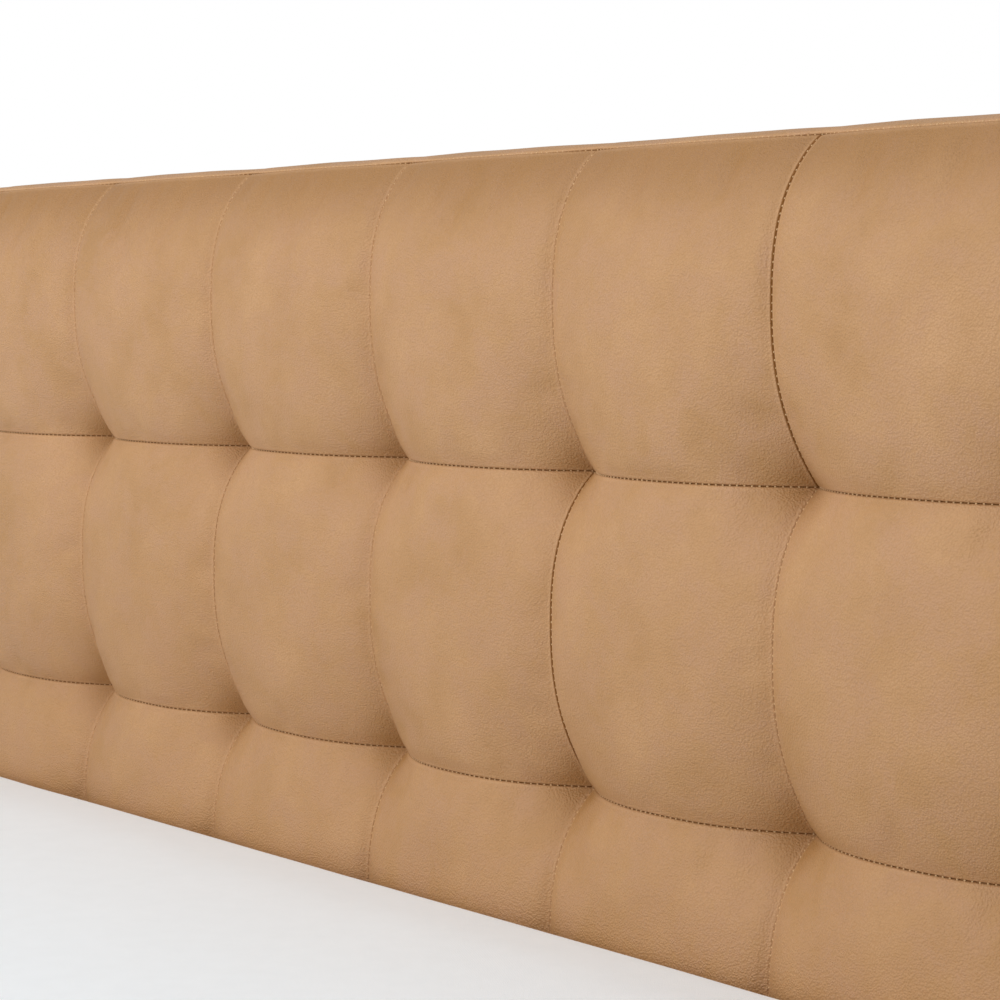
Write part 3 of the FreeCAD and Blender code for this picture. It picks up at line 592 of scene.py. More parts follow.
def leather_grain_group():
    """Pebbled grain, soft creases, cloudy dye and faint scuffs of tanned hide."""
    tree, given, out = shader_group(
        "hide_grain",
        {"Grain size": 0.0014, "Cloud size": 0.07},
        {"Height": "Float", "Cloud": "Float", "Bloom": "Float", "Scuff": "Float", "Pores": "Float"},
    )
    place = object_place(tree)
    grain = maths(tree, "DIVIDE", 1.0, given.outputs["Grain size"])
    wobble = add_node(tree, "ShaderNodeTexNoise", inputs={"Vector": place, "Scale": 210.0, "Detail": 2.0})
    shrink = add_node(
        tree, "ShaderNodeVectorMath", operation="SCALE", inputs={0: wobble.outputs["Color"], "Scale": 0.0012}
    )
    bend = add_node(tree, "ShaderNodeVectorMath", operation="ADD", inputs={0: place, 1: shrink.outputs[0]})
    cells = add_node(
        tree,
        "ShaderNodeTexVoronoi",
        feature="SMOOTH_F1",
        inputs={"Vector": bend.outputs[0], "Scale": grain, "Smoothness": 0.35},
    )
    pebble = remap(tree, cells.outputs["Distance"], 0.05, 0.75, 1.0, 0.0)
    fine = noise(tree, place, 1500.0, 2.0, 0.6)
    folds = noise(tree, place, 95.0, 4.0, 0.62, 0.6)
    fold_line = maths(tree, "ABSOLUTE", maths(tree, "SUBTRACT", folds, 0.5))
    fold = remap(tree, fold_line, 0.0, 0.035)
    patchy = remap(tree, noise(tree, place, 9.0, 2.0), 0.5, 0.68)
    dent = maths(tree, "MULTIPLY", maths(tree, "SUBTRACT", 1.0, fold), patchy)
    body = maths(tree, "ADD", maths(tree, "MULTIPLY", pebble, 0.55), maths(tree, "MULTIPLY", fine, 0.3))
    height = maths(tree, "SUBTRACT", body, maths(tree, "MULTIPLY", dent, 0.10))
    cloud_scale = maths(tree, "DIVIDE", 1.0, given.outputs["Cloud size"])
    cloud = noise(tree, place, cloud_scale, 5.0, 0.6)
    scratch_place = object_place(tree, (1.0, 1.0, 0.12))
    scratch = noise(tree, scratch_place, 130.0, 5.0, 0.7, 1.5)
    scratch_line = maths(tree, "ABSOLUTE", maths(tree, "SUBTRACT", scratch, 0.5))
    scratched = remap(tree, noise(tree, place, 14.0, 2.0), 0.56, 0.7)
    scuff = maths(tree, "MULTIPLY", remap(tree, scratch_line, 0.0, 0.006, 1.0, 0.0), scratched)
    bloom = noise(tree, place, 31.0, 6.0, 0.68, 0.4)
    give(tree, out, Height=height, Bloom=bloom, Cloud=cloud, Scuff=scuff, Pores=pebble)
    return tree


def wood_grain_group():
    """Growth rings, fibres and pores that run along one axis."""
    tree, given, out = shader_group(
        "timber_grain",
        {"Along X": 1.0, "Along Y": 1.0, "Along Z": 0.08, "Ring size": 0.018},
        {"Ring": "Float", "Fibre": "Float"},
    )
    place = tree.nodes.new("ShaderNodeTexCoord").outputs["Object"]
    stretch = add_node(
        tree, "ShaderNodeCombineXYZ", inputs={axis: given.outputs["Along " + axis] for axis in "XYZ"}
    )
    along = add_node(
        tree, "ShaderNodeVectorMath", operation="MULTIPLY", inputs={0: place, 1: stretch.outputs[0]}
    )
    drift = noise(tree, along.outputs[0], 7.0, 3.0, 0.5)
    rate = maths(tree, "DIVIDE", 1.0, given.outputs["Ring size"])
    rings = noise(tree, along.outputs[0], rate, 1.0, 0.4, 0.8)
    phase = maths(tree, "ADD", maths(tree, "MULTIPLY", rings, 9.0), maths(tree, "MULTIPLY", drift, 3.0))
    ring = maths(tree, "FRACT", phase)
    fibre = noise(tree, along.outputs[0], 520.0, 3.0, 0.6)
    give(tree, out, Ring=ring, Fibre=fibre)
    return tree


def weave_group():
    """Over-and-under threads of a plain weave."""
    tree, given, out = shader_group(
        "plain_weave", {"Thread size": 0.0006}, {"Height": "Float", "Tone": "Float"}
    )
    place = tree.nodes.new("ShaderNodeTexCoord").outputs["Object"]
    parts = add_node(tree, "ShaderNodeSeparateXYZ", inputs={0: place})
    rate = maths(tree, "DIVIDE", math.pi, given.outputs["Thread size"])
    tilted = maths(tree, "ADD", parts.outputs["X"], maths(tree, "MULTIPLY", parts.outputs["Z"], 0.73))
    other = maths(tree, "ADD", parts.outputs["Y"], maths(tree, "MULTIPLY", parts.outputs["Z"], 0.69))
    warp = maths(tree, "SINE", maths(tree, "MULTIPLY", tilted, rate))
    weft = maths(tree, "SINE", maths(tree, "MULTIPLY", other, rate))
    height = remap(tree, maths(tree, "MULTIPLY", warp, weft), -1.0, 1.0)
    tone = noise(tree, place, 60.0, 4.0, 0.6)
    give(tree, out, Height=height, Tone=tone)
    return tree


def wear_group():
    """Dust and handling marks, as a soft mask."""
    tree, given, out = shader_group("handling_wear", {"Amount": 0.3}, {"Mask": "Float"})
    place = object_place(tree)
    broad = remap(tree, noise(tree, place, 11.0, 4.0, 0.65), 0.42, 0.78)
    fine = remap(tree, noise(tree, place, 160.0, 3.0, 0.7), 0.35, 0.75)
    mask = maths(tree, "MULTIPLY", maths(tree, "MULTIPLY", broad, fine), given.outputs["Amount"])
    give(tree, out, Mask=mask)
    return tree


GROUP_MAKERS = {
    "hide_grain": leather_grain_group,
    "timber_grain": wood_grain_group,
    "plain_weave": weave_group,
    "handling_wear": wear_group,
}


def place_group(tree, name, **inputs):
    """A shared group placed in a material's tree, made when first used."""
    node = tree.nodes.new("ShaderNodeGroup")
    node.node_tree = bpy.data.node_groups.get(name) or GROUP_MAKERS[name]()
    for label, value in inputs.items():
        node.inputs[label.replace("_", " ")].default_value = value
    return node.outputs


# Finishes


def new_finish(name, roughness, metallic=0.0, **constants):
    """A material with its shader, whose even values sit on the shader itself."""
    material = bpy.data.materials.new(name)
    material.use_nodes = True
    tree = material.node_tree
    shader = tree.nodes["Principled BSDF"]
    shader.inputs["Roughness"].default_value = roughness
    shader.inputs["Metallic"].default_value = metallic
    for label, value in constants.items():
        shader.inputs[label.replace("_", " ")].default_value = value
    return material, tree, shader


def bump(tree, shader, height, distance, strength):
    node = add_node(
        tree, "ShaderNodeBump", inputs={"Strength": strength, "Distance": distance, "Height": height}
    )
    give(tree, shader, Normal=node.outputs["Normal"])


def leather_finish():
    base = settings("finish").leather
    material, tree, shader = new_finish("tan_leather", 0.5, Specular_IOR_Level=0.42)
    grain = place_group(tree, "hide_grain")
    seam = add_node(tree, "ShaderNodeAttribute", attribute_name="seam").outputs["Fac"]
    painted_shade = add_node(tree, "ShaderNodeAttribute", attribute_name="painted_shade").outputs["Fac"]
    pale = tinted(base, 1.10, 1.12, 1.20)
    deep = tinted(base, 0.90, 0.86, 0.74)
    bloomed = tinted(base, 1.00, 1.00, 1.22)
    # dark is the colour of the painted shade in the pull pockets, under the top seam and on the lower rows
    dark = tinted(base, 0.60, 0.49, 0.24)
    # The next two colours are a painted highlight for the lips beside each seam and a painted shade for its
    # groove.
    light = tinted(base, 1.16, 1.20, 1.32)
    groove_shade = tinted(base, 0.44, 0.30, 0.085)
    body = mix_colour(tree, remap(tree, grain["Cloud"], 0.33, 0.67), deep, pale)
    body = mix_colour(tree, remap(tree, grain["Bloom"], 0.42, 0.62, 0.0, 0.70), body, bloomed)
    pores = maths(tree, "SUBTRACT", 1.0, remap(tree, grain["Pores"], 0.0, 0.55))
    body = part_mix(tree, pores, 0.50, body, deep)
    body = part_mix(tree, grain["Scuff"], 0.35, body, pale)
    # Painted shade in the pull pockets, under the top seam and on the lower rows
    body = part_mix(tree, painted_shade, 0.7, body, dark)
    # Painted highlight on the seam lips, then painted shade in the seam grooves
    body = part_mix(tree, remap(tree, seam, 0.10, 0.55), 0.35, body, light)
    body = mix_colour(tree, remap(tree, seam, 0.72, 0.97), body, groove_shade)
    rough = remap(tree, grain["Cloud"], 0.3, 0.7, 0.47, 0.56)
    rough = maths(tree, "SUBTRACT", rough, maths(tree, "MULTIPLY", grain["Scuff"], 0.08))
    dry = remap(tree, seam, 0.60, 0.95, 0.0, 0.35)
    give(tree, shader, Base_Color=body, Roughness=maths(tree, "ADD", rough, dry))
    bump(tree, shader, grain["Height"], 0.0007, 0.95)
    return material


def thread_finish():
    base = settings("finish").thread
    material, tree, shader = new_finish("sewing_thread", 0.62)
    place = object_place(tree)
    twist = noise(tree, place, 1400.0, 2.0)
    give(tree, shader, Base_Color=mix_colour(tree, twist, colour(base), tinted(base, 1.25)))
    bump(tree, shader, twist, 0.0001, 0.7)
    return material


def wood_finish(name, light, dark, along, roughness, ring_size=0.018, wear=0.25):
    material, tree, shader = new_finish(name, roughness)
    stretch = {"Along_" + axis: (0.08 if axis == along else 1.0) for axis in "XYZ"}
    grain = place_group(tree, "timber_grain", Ring_size=ring_size, **stretch)
    marks = place_group(tree, "handling_wear", Amount=wear)
    ring = remap(tree, grain["Ring"], 0.1, 0.95)
    body = mix_colour(tree, ring, colour(light), colour(dark))
    fibre = remap(tree, grain["Fibre"], 0.3, 0.7)
    body = part_mix(tree, fibre, 0.3, body, tinted(dark, 0.72))
    body = mix_colour(tree, marks["Mask"], body, tinted(light, 1.3))
    rough = remap(tree, fibre, 0.0, 1.0, roughness - 0.06, roughness + 0.08)
    give(tree, shader, Base_Color=body, Roughness=rough)
    bump(tree, shader, maths(tree, "ADD", fibre, maths(tree, "MULTIPLY", ring, 0.4)), 0.00025, 0.6)
    return material


def plywood_finish():
    """Pale face veneer, with its layers showing on the edges."""
    material, tree, shader = new_finish("birch_plywood", 0.6)
    grain = place_group(tree, "timber_grain", Along_X=0.08, Along_Z=1.0, Ring_size=0.03)
    place = tree.nodes.new("ShaderNodeTexCoord").outputs["Object"]
    depth = add_node(tree, "ShaderNodeSeparateXYZ", inputs={0: place}).outputs["Y"]
    layers = maths(tree, "SINE", maths(tree, "MULTIPLY", depth, 2 * math.pi / 0.0034))
    body = mix_colour(tree, remap(tree, grain["Ring"], 0, 1), (0.66, 0.50, 0.31, 1), (0.52, 0.36, 0.20, 1))
    body = mix_colour(tree, remap(tree, layers, 0.2, 0.9, 0.0, 0.35), body, (0.36, 0.22, 0.11, 1))
    give(tree, shader, Base_Color=body)
    bump(tree, shader, grain["Fibre"], 0.0002, 0.5)
    return material


def foam_finish():
    material, tree, shader = new_finish("upholstery_foam", 0.95)
    place = object_place(tree)
    cells = add_node(tree, "ShaderNodeTexVoronoi", inputs={"Vector": place, "Scale": 900.0})
    shade = noise(tree, place, 25.0, 4.0)
    give(tree, shader, Base_Color=mix_colour(tree, shade, (0.84, 0.79, 0.60, 1), (0.90, 0.87, 0.74, 1)))
    bump(tree, shader, cells.outputs["Distance"], 0.0006, 0.9)
    return material


def cloth_finish(name, base, thread_size, roughness, sheen):
    """Woven fabric with its threads, tone and a soft nap."""
    material, tree, shader = new_finish(name, roughness, Sheen_Weight=sheen, Sheen_Roughness=0.5)
    weave = place_group(tree, "plain_weave", Thread_size=thread_size)
    body = part_mix(tree, remap(tree, weave["Tone"], 0.3, 0.7), 0.5, colour(base), tinted(base, 0.96))
    # Painted shade in the hollows between the threads, where the weave lies low
    body = mix_colour(tree, remap(tree, weave["Height"], 0.0, 0.6, 0.12, 0.0), body, tinted(base, 0.85))
    give(tree, shader, Base_Color=body)
    bump(tree, shader, weave["Height"], thread_size * 0.3, 0.5)
    return material


def metal_finish(name, base, roughness, metallic, wear):
    material, tree, shader = new_finish(name, roughness, metallic)
    marks = place_group(tree, "handling_wear", Amount=wear)
    place = object_place(tree)
    brushed = noise(tree, place, 340.0, 3.0, 0.6)
    body = mix_colour(tree, marks["Mask"], colour(base), colour([min(c * 1.5 + 0.05, 1.0) for c in base]))
    rough = remap(tree, brushed, 0.3, 0.7, roughness - 0.06, roughness + 0.1)
    give(tree, shader, Base_Color=body, Roughness=rough)
    bump(tree, shader, brushed, 0.00008, 0.5)
    return material


def plastic_finish():
    material, tree, shader = new_finish("moulded_plastic", 0.5)
    place = object_place(tree)
    speckle = noise(tree, place, 1100.0, 2.0, 0.6)
    marks = place_group(tree, "handling_wear", Amount=0.35)
    body = mix_colour(tree, marks["Mask"], (0.022, 0.022, 0.024, 1), (0.09, 0.09, 0.09, 1))
    give(tree, shader, Base_Color=body)
    bump(tree, shader, speckle, 0.00015, 0.7)
    return material


def stained_finish():
    light = tuple(settings("finish").stained_wood)
    return wood_finish("stained_legs", light, tuple(c * 0.5 for c in light), "Z", 0.32, 0.012, 0.12)


def ticking_finish():
    return cloth_finish("mattress_ticking", tuple(settings("finish").ticking), 0.0007, 0.85, 0.15)


PINE = ((0.68, 0.49, 0.28), (0.50, 0.31, 0.15))
FINISH_MAKERS = {
    "leather": leather_finish,
    "thread": thread_finish,
    "pine_x": lambda: wood_finish("pine_across", *PINE, "X", 0.58),
    "pine_y": lambda: wood_finish("pine_lengthwise", *PINE, "Y", 0.58),
    "pine_z": lambda: wood_finish("pine_upright", *PINE, "Z", 0.58),
    "beech": lambda: wood_finish("beech_slats", (0.66, 0.46, 0.28), (0.53, 0.34, 0.19), "X", 0.45, 0.01),
    "stained": stained_finish,
    "plywood": plywood_finish,
    "foam": foam_finish,
    "wadding": lambda: cloth_finish("polyester_wadding", (0.86, 0.86, 0.84), 0.003, 0.95, 0.1),
    "ticking": ticking_finish,
    "tape": lambda: cloth_finish("edge_tape", (0.74, 0.74, 0.76), 0.0012, 0.8, 0.1),
    "webbing": lambda: cloth_finish("slat_webbing", (0.62, 0.60, 0.54), 0.0016, 0.85, 0.05),
    "twine": lambda: cloth_finish("tufting_twine", (0.62, 0.52, 0.36), 0.0008, 0.85, 0.05),
    "zinc": lambda: metal_finish("zinc_plate", (0.60, 0.60, 0.58), 0.34, 0.95, 0.2),
    "black_steel": lambda: metal_finish("powder_coat", (0.025, 0.025, 0.026), 0.45, 0.2, 0.25),
    "plastic": plastic_finish,
}
MADE_FINISHES = {}


def finish(name):
    if name not in MADE_FINISHES:
        MADE_FINISHES[name] = FINISH_MAKERS[name]()
    return MADE_FINISHES[name]


def dress(piece, name):
    piece.data.materials.clear()
    piece.data.materials.append(finish(name))


def hand_over(piece, body=FRAME_BODY, replaced=()):
    """Declares a finished piece to the frame."""
    if replaced:
        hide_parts(*replaced)
    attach(piece, body)


# Headboard


SEAM_LINES = []


def note_seam(points, normals, kind):
    """Keeps a seam's path for the stitches, short of its ends. kind is ladder, upright or top."""
    points, normals = np.asarray(points, float), np.asarray(normals, float)
    if kind != "top":
        along = np.concatenate([[0], np.cumsum(np.linalg.norm(np.diff(points, axis=0), axis=1))])
        inside = (along > SEAM_END) & (along < along[-1] - SEAM_END)
        points, normals = points[inside], normals[inside]
    SEAM_LINES.append((points, normals, kind))


def edge_seam_rise(share_along, count, rise):
    """Forward rise of an outer seam at a share of its length, tile by tile."""
    return rise * arch((share_along * count) % 1.0)


def build_tufted_cover():
    tuft = settings("tuft")
    width, height, corner = field_spans()
    x, z, rise = tile_field(tile_steps(width), tile_steps(height))
    points = np.stack(np.broadcast_arrays(x[:, None], PULL_Y - rise, z[None, :]), axis=-1).copy()
    points += settle_leather(x, z)
    slope_x = np.gradient(points[..., 1], x, axis=0)
    slope_z = np.gradient(points[..., 1], z, axis=1)
    column_lines = corner.x + width * np.arange(tuft.columns + 1)
    row_lines = corner.z + height * np.arange(tuft.rows + 1)
    to_column = distance_to_lines(x, column_lines)[:, None]
    to_row = distance_to_lines(z, row_lines)[None, :]
    to_column, to_row = to_column * np.sqrt(1 + slope_x**2), to_row * np.sqrt(1 + slope_z**2)
    to_seam = np.minimum(to_column, to_row)
    drop = np.maximum(lip_drop(to_column, tuft.upright_lip), lip_drop(to_row, tuft.lip_radius))
    points[..., 1] += drop
    points[..., 1] -= 0.0003 * soft_noise(points, 0.05, 5) * np.clip(to_seam / 0.02, 0, 1)
    note_field_seams(x, z, points, column_lines, row_lines)
    cover = new_sheet("headboard_tufted_leather", round_headboard(points), (0, -1, 0))
    column = np.argmin(np.abs(x[:, None] - column_lines[None, :]), axis=1)
    row = np.clip(np.searchsorted(row_lines, z, side="right") - 1, 0, tuft.rows - 1)
    # Seam marks for the painted lip highlight and groove shade, stronger at random on some upright seams
    draw = np.random.default_rng(SEAM_SEED).random((tuft.columns + 1, tuft.rows))
    openness = UPRIGHT_MARK_LEAST + UPRIGHT_MARK_RANGE * draw**3
    mark = np.maximum(openness[column[:, None], row[None, :]] * seam_mark(to_column), seam_mark(to_row))
    set_attribute(cover, "seam", np.clip(mark, 0, 1))
    # Painted shade: darker in the pull pockets, in a band under the top seam and over the lower rows
    inner_x, inner_z = column_lines[1:-1], row_lines[1:-1]
    to_pull = np.hypot(distance_to_lines(x, inner_x)[:, None], distance_to_lines(z, inner_z)[None, :])
    painted_shade = np.exp(-((to_pull / PULL_SHADE_REACH) ** 2))
    painted_shade = painted_shade + np.exp(-(((z[-1] - z) / TOP_SHADE_REACH) ** 2))[None, :] * np.ones((len(x), 1))
    painted_shade = painted_shade + LOWER_ROW_SHADE * np.clip((row_lines[-1] - height * 0.9 - z) / height, 0, 1)[None, :]
    set_attribute(cover, "painted_shade", np.clip(painted_shade, 0, 1))
    thicken(cover, LEATHER_THICKNESS)
    dress(cover, "leather")
    hand_over(cover, replaced=["headboard_tufted_cover"])


def note_field_seams(x, z, points, column_lines, row_lines):
    """Seam paths on the tile field, with the way that the surface faces."""
    tuft = settings("tuft")
    forward = np.array([0, -0.6 * tuft.upright_lip, 0])
    for line in column_lines:
        i = int(np.argmin(np.abs(x - line)))
        path = points[i] + forward
        tangent = np.gradient(path, axis=0)
        normals = np.stack([np.zeros(len(path)), -tangent[:, 2], tangent[:, 1]], axis=-1)
        note_seam(path, normals, "upright")
    forward = np.array([0, -0.5 * tuft.lip_radius, 0])
    for line in row_lines:
        j = int(np.argmin(np.abs(z - line)))
        path = points[:, j] + forward
        tangent = np.gradient(path, axis=0)
        normals = np.stack([tangent[:, 1], -tangent[:, 0], np.zeros(len(path))], axis=-1)
        note_seam(path, normals, "upright" if line == row_lines[-1] else "ladder")


def build_foam():
    """Foam of the tile field, cut to the same cushions under the leather."""
    width, height, _ = field_spans()
    x, z, rise = tile_field(even_steps(width, 12), even_steps(height, 12))
    front = np.stack(np.broadcast_arrays(x[:, None], PULL_Y - rise + FOAM_GAP, z[None, :]), axis=-1).copy()
    for end, inwards in ((0, FOAM_INSET), (-1, -FOAM_INSET)):
        front[end, :, 0] += inwards
        front[:, end, 2] += inwards
    back = front.copy()
    back[..., 1] = FIELD_HIGH.y
    foam = closed_slab("headboard_foam_block", front, back)
    dress(foam, "foam")
    hand_over(foam, replaced=["headboard_foam"])


def closed_slab(name, front, back):
    """A closed body between two grids of the same layout."""
    rows, columns = front.shape[:2]
    count = rows * columns
    index = np.arange(count).reshape(rows, columns)
    faces = [grid_faces(rows, columns), grid_faces(rows, columns)[:, ::-1] + count]
    rim = np.concatenate([index[:-1, 0], index[-1, :-1], index[:0:-1, -1], index[0, :0:-1]])
    after = np.roll(rim, -1)
    faces.append(np.stack([after, rim, rim + count, after + count], axis=-1))
    slab = new_piece(name, np.concatenate([front.reshape(-1, 3), back.reshape(-1, 3)]), np.concatenate(faces))
    face_outwards(slab)
    return slab


def face_outwards(piece):
    """Turns every face of a closed piece outwards."""
    form = bmesh.new()
    form.from_mesh(piece.data)
    bmesh.ops.recalc_face_normals(form, faces=form.faces)
    form.to_mesh(piece.data)
    form.free()


def edge_rolls(distance_back, roll, lip_radius, tail, y):
    """Outward height of the boxing at distances behind its seam, highest on a straight line."""
    crest = np.clip((y - PULL_Y + BOXING_CREST_START) / BOXING_CREST_LENGTH, 0, 1)
    quick = BOXING_QUICK_SHARE * (1 - np.exp(-distance_back / BOXING_LIFT_FADE))
    height = roll * (quick + BOXING_CREST_SHARE * crest**2 * (3 - 2 * crest))
    height -= lip_drop(distance_back, lip_radius)
    return height - corner_inset(np.clip(tail - distance_back, 0, None), BOXING_BACK_CORNER)


def boxing_steps(tail):
    """Distances back from the seam at which the boxing has its grid lines."""
    near = 0.0004 * 1.5 ** np.arange(9)
    far = 0.0005 * 1.6 ** np.arange(5)
    middle = np.full(8, (tail - near.sum() - far.sum()) / 8)
    return np.concatenate([[0.0], np.cumsum(np.concatenate([near, middle, far[::-1]]))])


def build_boxing():
    """Leather strips along the headboard's top and sides, rounded where they meet at the upper corners."""
    tuft = settings("tuft")
    width, height, corner = field_spans()
    half, top = FIELD_HIGH.x, FIELD_HIGH.z
    strips = {}
    across, up = even_steps(width, 22)[:-1], even_steps(height, 22)[:-1]
    along = np.concatenate([-half + width * i + across for i in range(tuft.columns)] + [[half]])
    rise = edge_seam_rise((along + half) / (2 * half), tuft.columns, tuft.edge_rise)
    strips["top"] = (along, rise)
    field = np.concatenate([corner.z + height * j + up for j in range(tuft.rows)] + [[top]])
    side_rise = edge_seam_rise((field - corner.z) / (top - corner.z), tuft.rows, tuft.edge_rise)
    below = np.linspace(SKIRT_LOW.z, corner.z, 45)[:-1]
    places = np.concatenate([below, field])
    strips["side"] = (places, np.concatenate([np.zeros(len(below)), side_rise]) + hem_step(places))
    share = boxing_steps(BACK_Y - PULL_Y)
    share = share / share[-1]
    for kind, (places, rises) in strips.items():
        seam_y = PULL_Y - rises
        tail = BACK_Y - seam_y
        back = share[None, :] * tail[:, None]
        puff = 0.0008 * (rises / tuft.edge_rise - 0.5)[:, None] * np.sin(np.pi * share)[None, :]
        y = seam_y[:, None] + back + (lip_drop(back, tuft.upright_lip) * 0.9)
        lift = edge_rolls(back, EDGE_ROLL - 0.0005, tuft.lip_radius, tail[:, None], y)
        lift += np.clip(puff, -0.0006, 0.0008)
        if kind == "top":
            x = places[:, None] * (1 + lift / half)
            points = np.stack([x, y, top + lift], axis=-1)
            replaced = ["headboard_top_boxing", "headboard_edge_padding"]
            make_boxing("headboard_top_boxing_leather", points, (0, 0, 1), replaced)
        else:
            climb = np.clip((places - corner.z) / (top - corner.z), 0, 1)[:, None]
            z = places[:, None] + lift * climb**8
            for name, side in SIDES.items():
                points = np.stack([side * (half + lift), y, z], axis=-1)
                replaced = ["headboard_side_boxing_" + name]
                make_boxing("headboard_side_boxing_leather_" + name, points, (side, 0, 0), replaced)


def make_boxing(name, points, outward, replaced):
    points[..., 1] = np.minimum(points[..., 1], BACK_Y)
    wave = 0.0004 * soft_noise(points, 0.07, 21)
    loose = (np.linspace(0, 1, points.shape[1]) > 0.05)[None, :, None]
    points += wave[..., None] * np.asarray(outward, float) * loose
    points = round_headboard(points)
    strip = new_sheet(name, points, outward)
    steps = np.linalg.norm(np.diff(points, axis=1), axis=-1)
    from_seam = np.concatenate([np.zeros((len(points), 1)), np.cumsum(steps, axis=1)], axis=1)
    # Seam marks for the painted lip highlight and groove shade at both long edges of the strip
    mark = np.maximum(EDGE_MARK * seam_mark(from_seam), seam_mark(from_seam[:, -1:] - from_seam))
    set_attribute(strip, "seam", np.clip(mark, 0, 1))
    thicken(strip, LEATHER_THICKNESS)
    dress(strip, "leather")
    hand_over(strip, replaced=replaced)


def seam_grid(span, cells, lines, near=0.012):
    """Places from 0 to span that crowd around the given seam lines."""
    base = np.linspace(0, span, cells + 1)
    close = np.array([0.0, 0.0006, 0.0014, 0.0026, 0.005, near])
    extra = [np.concatenate([line - close, line + close]) for line in lines]
    keep = base[distance_to_lines(base, lines) > near * 1.3] if len(lines) else base
    places = np.concatenate([keep] + extra)
    return np.unique(np.round(np.clip(places, 0, span), 7))


def build_back_panel():
    """Leather panel that closes the back."""
    tuft = settings("tuft")
    low = Vector((-FIELD_HIGH.x - EDGE_ROLL + PANEL_INSET, 0, SKIRT_LOW.z))
    high = Vector((FIELD_HIGH.x + EDGE_ROLL - PANEL_INSET, 0, FIELD_HIGH.z + EDGE_ROLL - PANEL_INSET))
    x = low.x + seam_grid(high.x - low.x, 90, [0.0, high.x - low.x, (high.x - low.x) / 2])
    z = low.z + seam_grid(high.z - low.z, 54, [0.0, high.z - low.z])
    to_upright = distance_to_lines(x, [low.x, high.x, 0.0])[:, None]
    edges = np.minimum(to_upright, distance_to_lines(z, [low.z, high.z])[None, :])
    grid_x, grid_z = np.meshgrid(x, z, indexing="ij")
    points = np.stack([grid_x, np.full(grid_x.shape, BACK_Y), grid_z], axis=-1)
    fullness = np.clip(edges / 0.05, 0, 1)
    points[..., 1] += 0.0012 * fullness * (1 + 0.6 * soft_noise(points, 0.25, 3)) - 0.0002
    points[..., 1] -= lip_drop(edges, tuft.lip_radius)
    panel = new_sheet("headboard_back_leather", round_headboard(points), (0, 1, 0))
    # Seam marks for the painted lip highlight and groove shade round the panel's edges
    set_attribute(panel, "seam", seam_mark(edges))
    thicken(panel, LEATHER_THICKNESS)
    dress(panel, "leather")
    hand_over(panel, replaced=["headboard_back_cover"])
    seams = [points[column] for column in (0, -1, int(np.argmin(np.abs(x))))]
    for seam in seams + [points[:, 0], points[:, -1]]:
        note_seam(seam + [0, STITCH_LIFT, 0], np.tile([0, 1, 0], (len(seam), 1)), "ladder")


def build_skirt():
    """Plain leather skirt below the tiles, tucked under at the bottom."""
    tuft = settings("tuft")
    half = FIELD_HIGH.x
    top, bottom = FIELD_LOW.z - LEATHER_THICKNESS, SKIRT_LOW.z
    x = -half + seam_grid(2 * half, 96, [0.0, 2 * half])
    down = seam_grid(top - bottom, 34, [0.0, top - bottom])
    rise = edge_seam_rise((x + half) / (2 * half), tuft.columns, tuft.hem_rise)
    y = SKIRT_LOW.y - rise[:, None] * np.exp(-down / 0.012)[None, :]
    to_side = distance_to_lines(x, [-half, half])[:, None]
    to_top = down[None, :] * np.ones((len(x), 1))
    edges = np.minimum(to_side, to_top)
    y = y + lip_drop(edges, tuft.upright_lip)
    grid_x = np.broadcast_to(x[:, None], y.shape)
    grid_z = np.broadcast_to(top - down[None, :], y.shape)
    front = np.stack([grid_x, y, grid_z], axis=-1)
    front[..., 1] -= 0.0015 * np.clip(edges / 0.04, 0, 1) * soft_noise(front, 0.3, 8)
    turn = np.linspace(0.15, 1, 7) * math.pi / 2
    radius = SKIRT_TURN
    front[:, :, 2] = np.maximum(front[:, :, 2], bottom + radius)
    last = front[:, -1].copy()
    roll = [last + [0, radius * (1 - math.cos(a)), -radius * math.sin(a)] for a in turn]
    under = last.copy()
    under[:, 1] = SKIRT_HIGH.y - 0.001
    under[:, 2] = bottom
    points = np.concatenate([front, np.stack(roll, axis=1), under[:, None]], axis=1)
    skirt = new_sheet("headboard_skirt_leather", points, (0, -1, 0))
    # Seam marks for the painted lip highlight and groove shade along the skirt's seams
    edges = np.concatenate([edges, np.full((len(x), len(turn) + 1), FAR_FROM_SEAM)], axis=1)
    set_attribute(skirt, "seam", seam_mark(edges))
    thicken(skirt, LEATHER_THICKNESS)
    dress(skirt, "leather")
    hand_over(skirt, replaced=["headboard_skirt_cover"])


# Rails


def rail_outline(inner, outer, low, high, flap, radius, bulge):
    """Outline of a padded rail's leather, from under the core round to the flap."""
    points = [(inner, low), ((inner + outer) / 2, low)]
    small = RAIL_LOW_EDGE
    for a in np.linspace(0, math.pi / 2, 6):
        points.append((outer - small + small * math.sin(a), low + small - small * math.cos(a)))
    start, end = low + small, high - radius
    for share in np.linspace(0, 1, 16)[1:-1]:
        points.append((outer + bulge * math.sin(math.pi * share) ** 0.7, start + (end - start) * share))
    for a in np.linspace(0, math.pi / 2, 9):
        points.append((outer - radius + radius * math.cos(a), high - radius + radius * math.sin(a)))
    tight = radius * 0.7
    for a in np.linspace(0, math.pi / 2, 7):
        points.append((inner + tight - tight * math.sin(a), high - tight + tight * math.cos(a)))
    points.append((inner, (high + flap) / 2))
    points.append((inner, flap))
    return np.array(points)


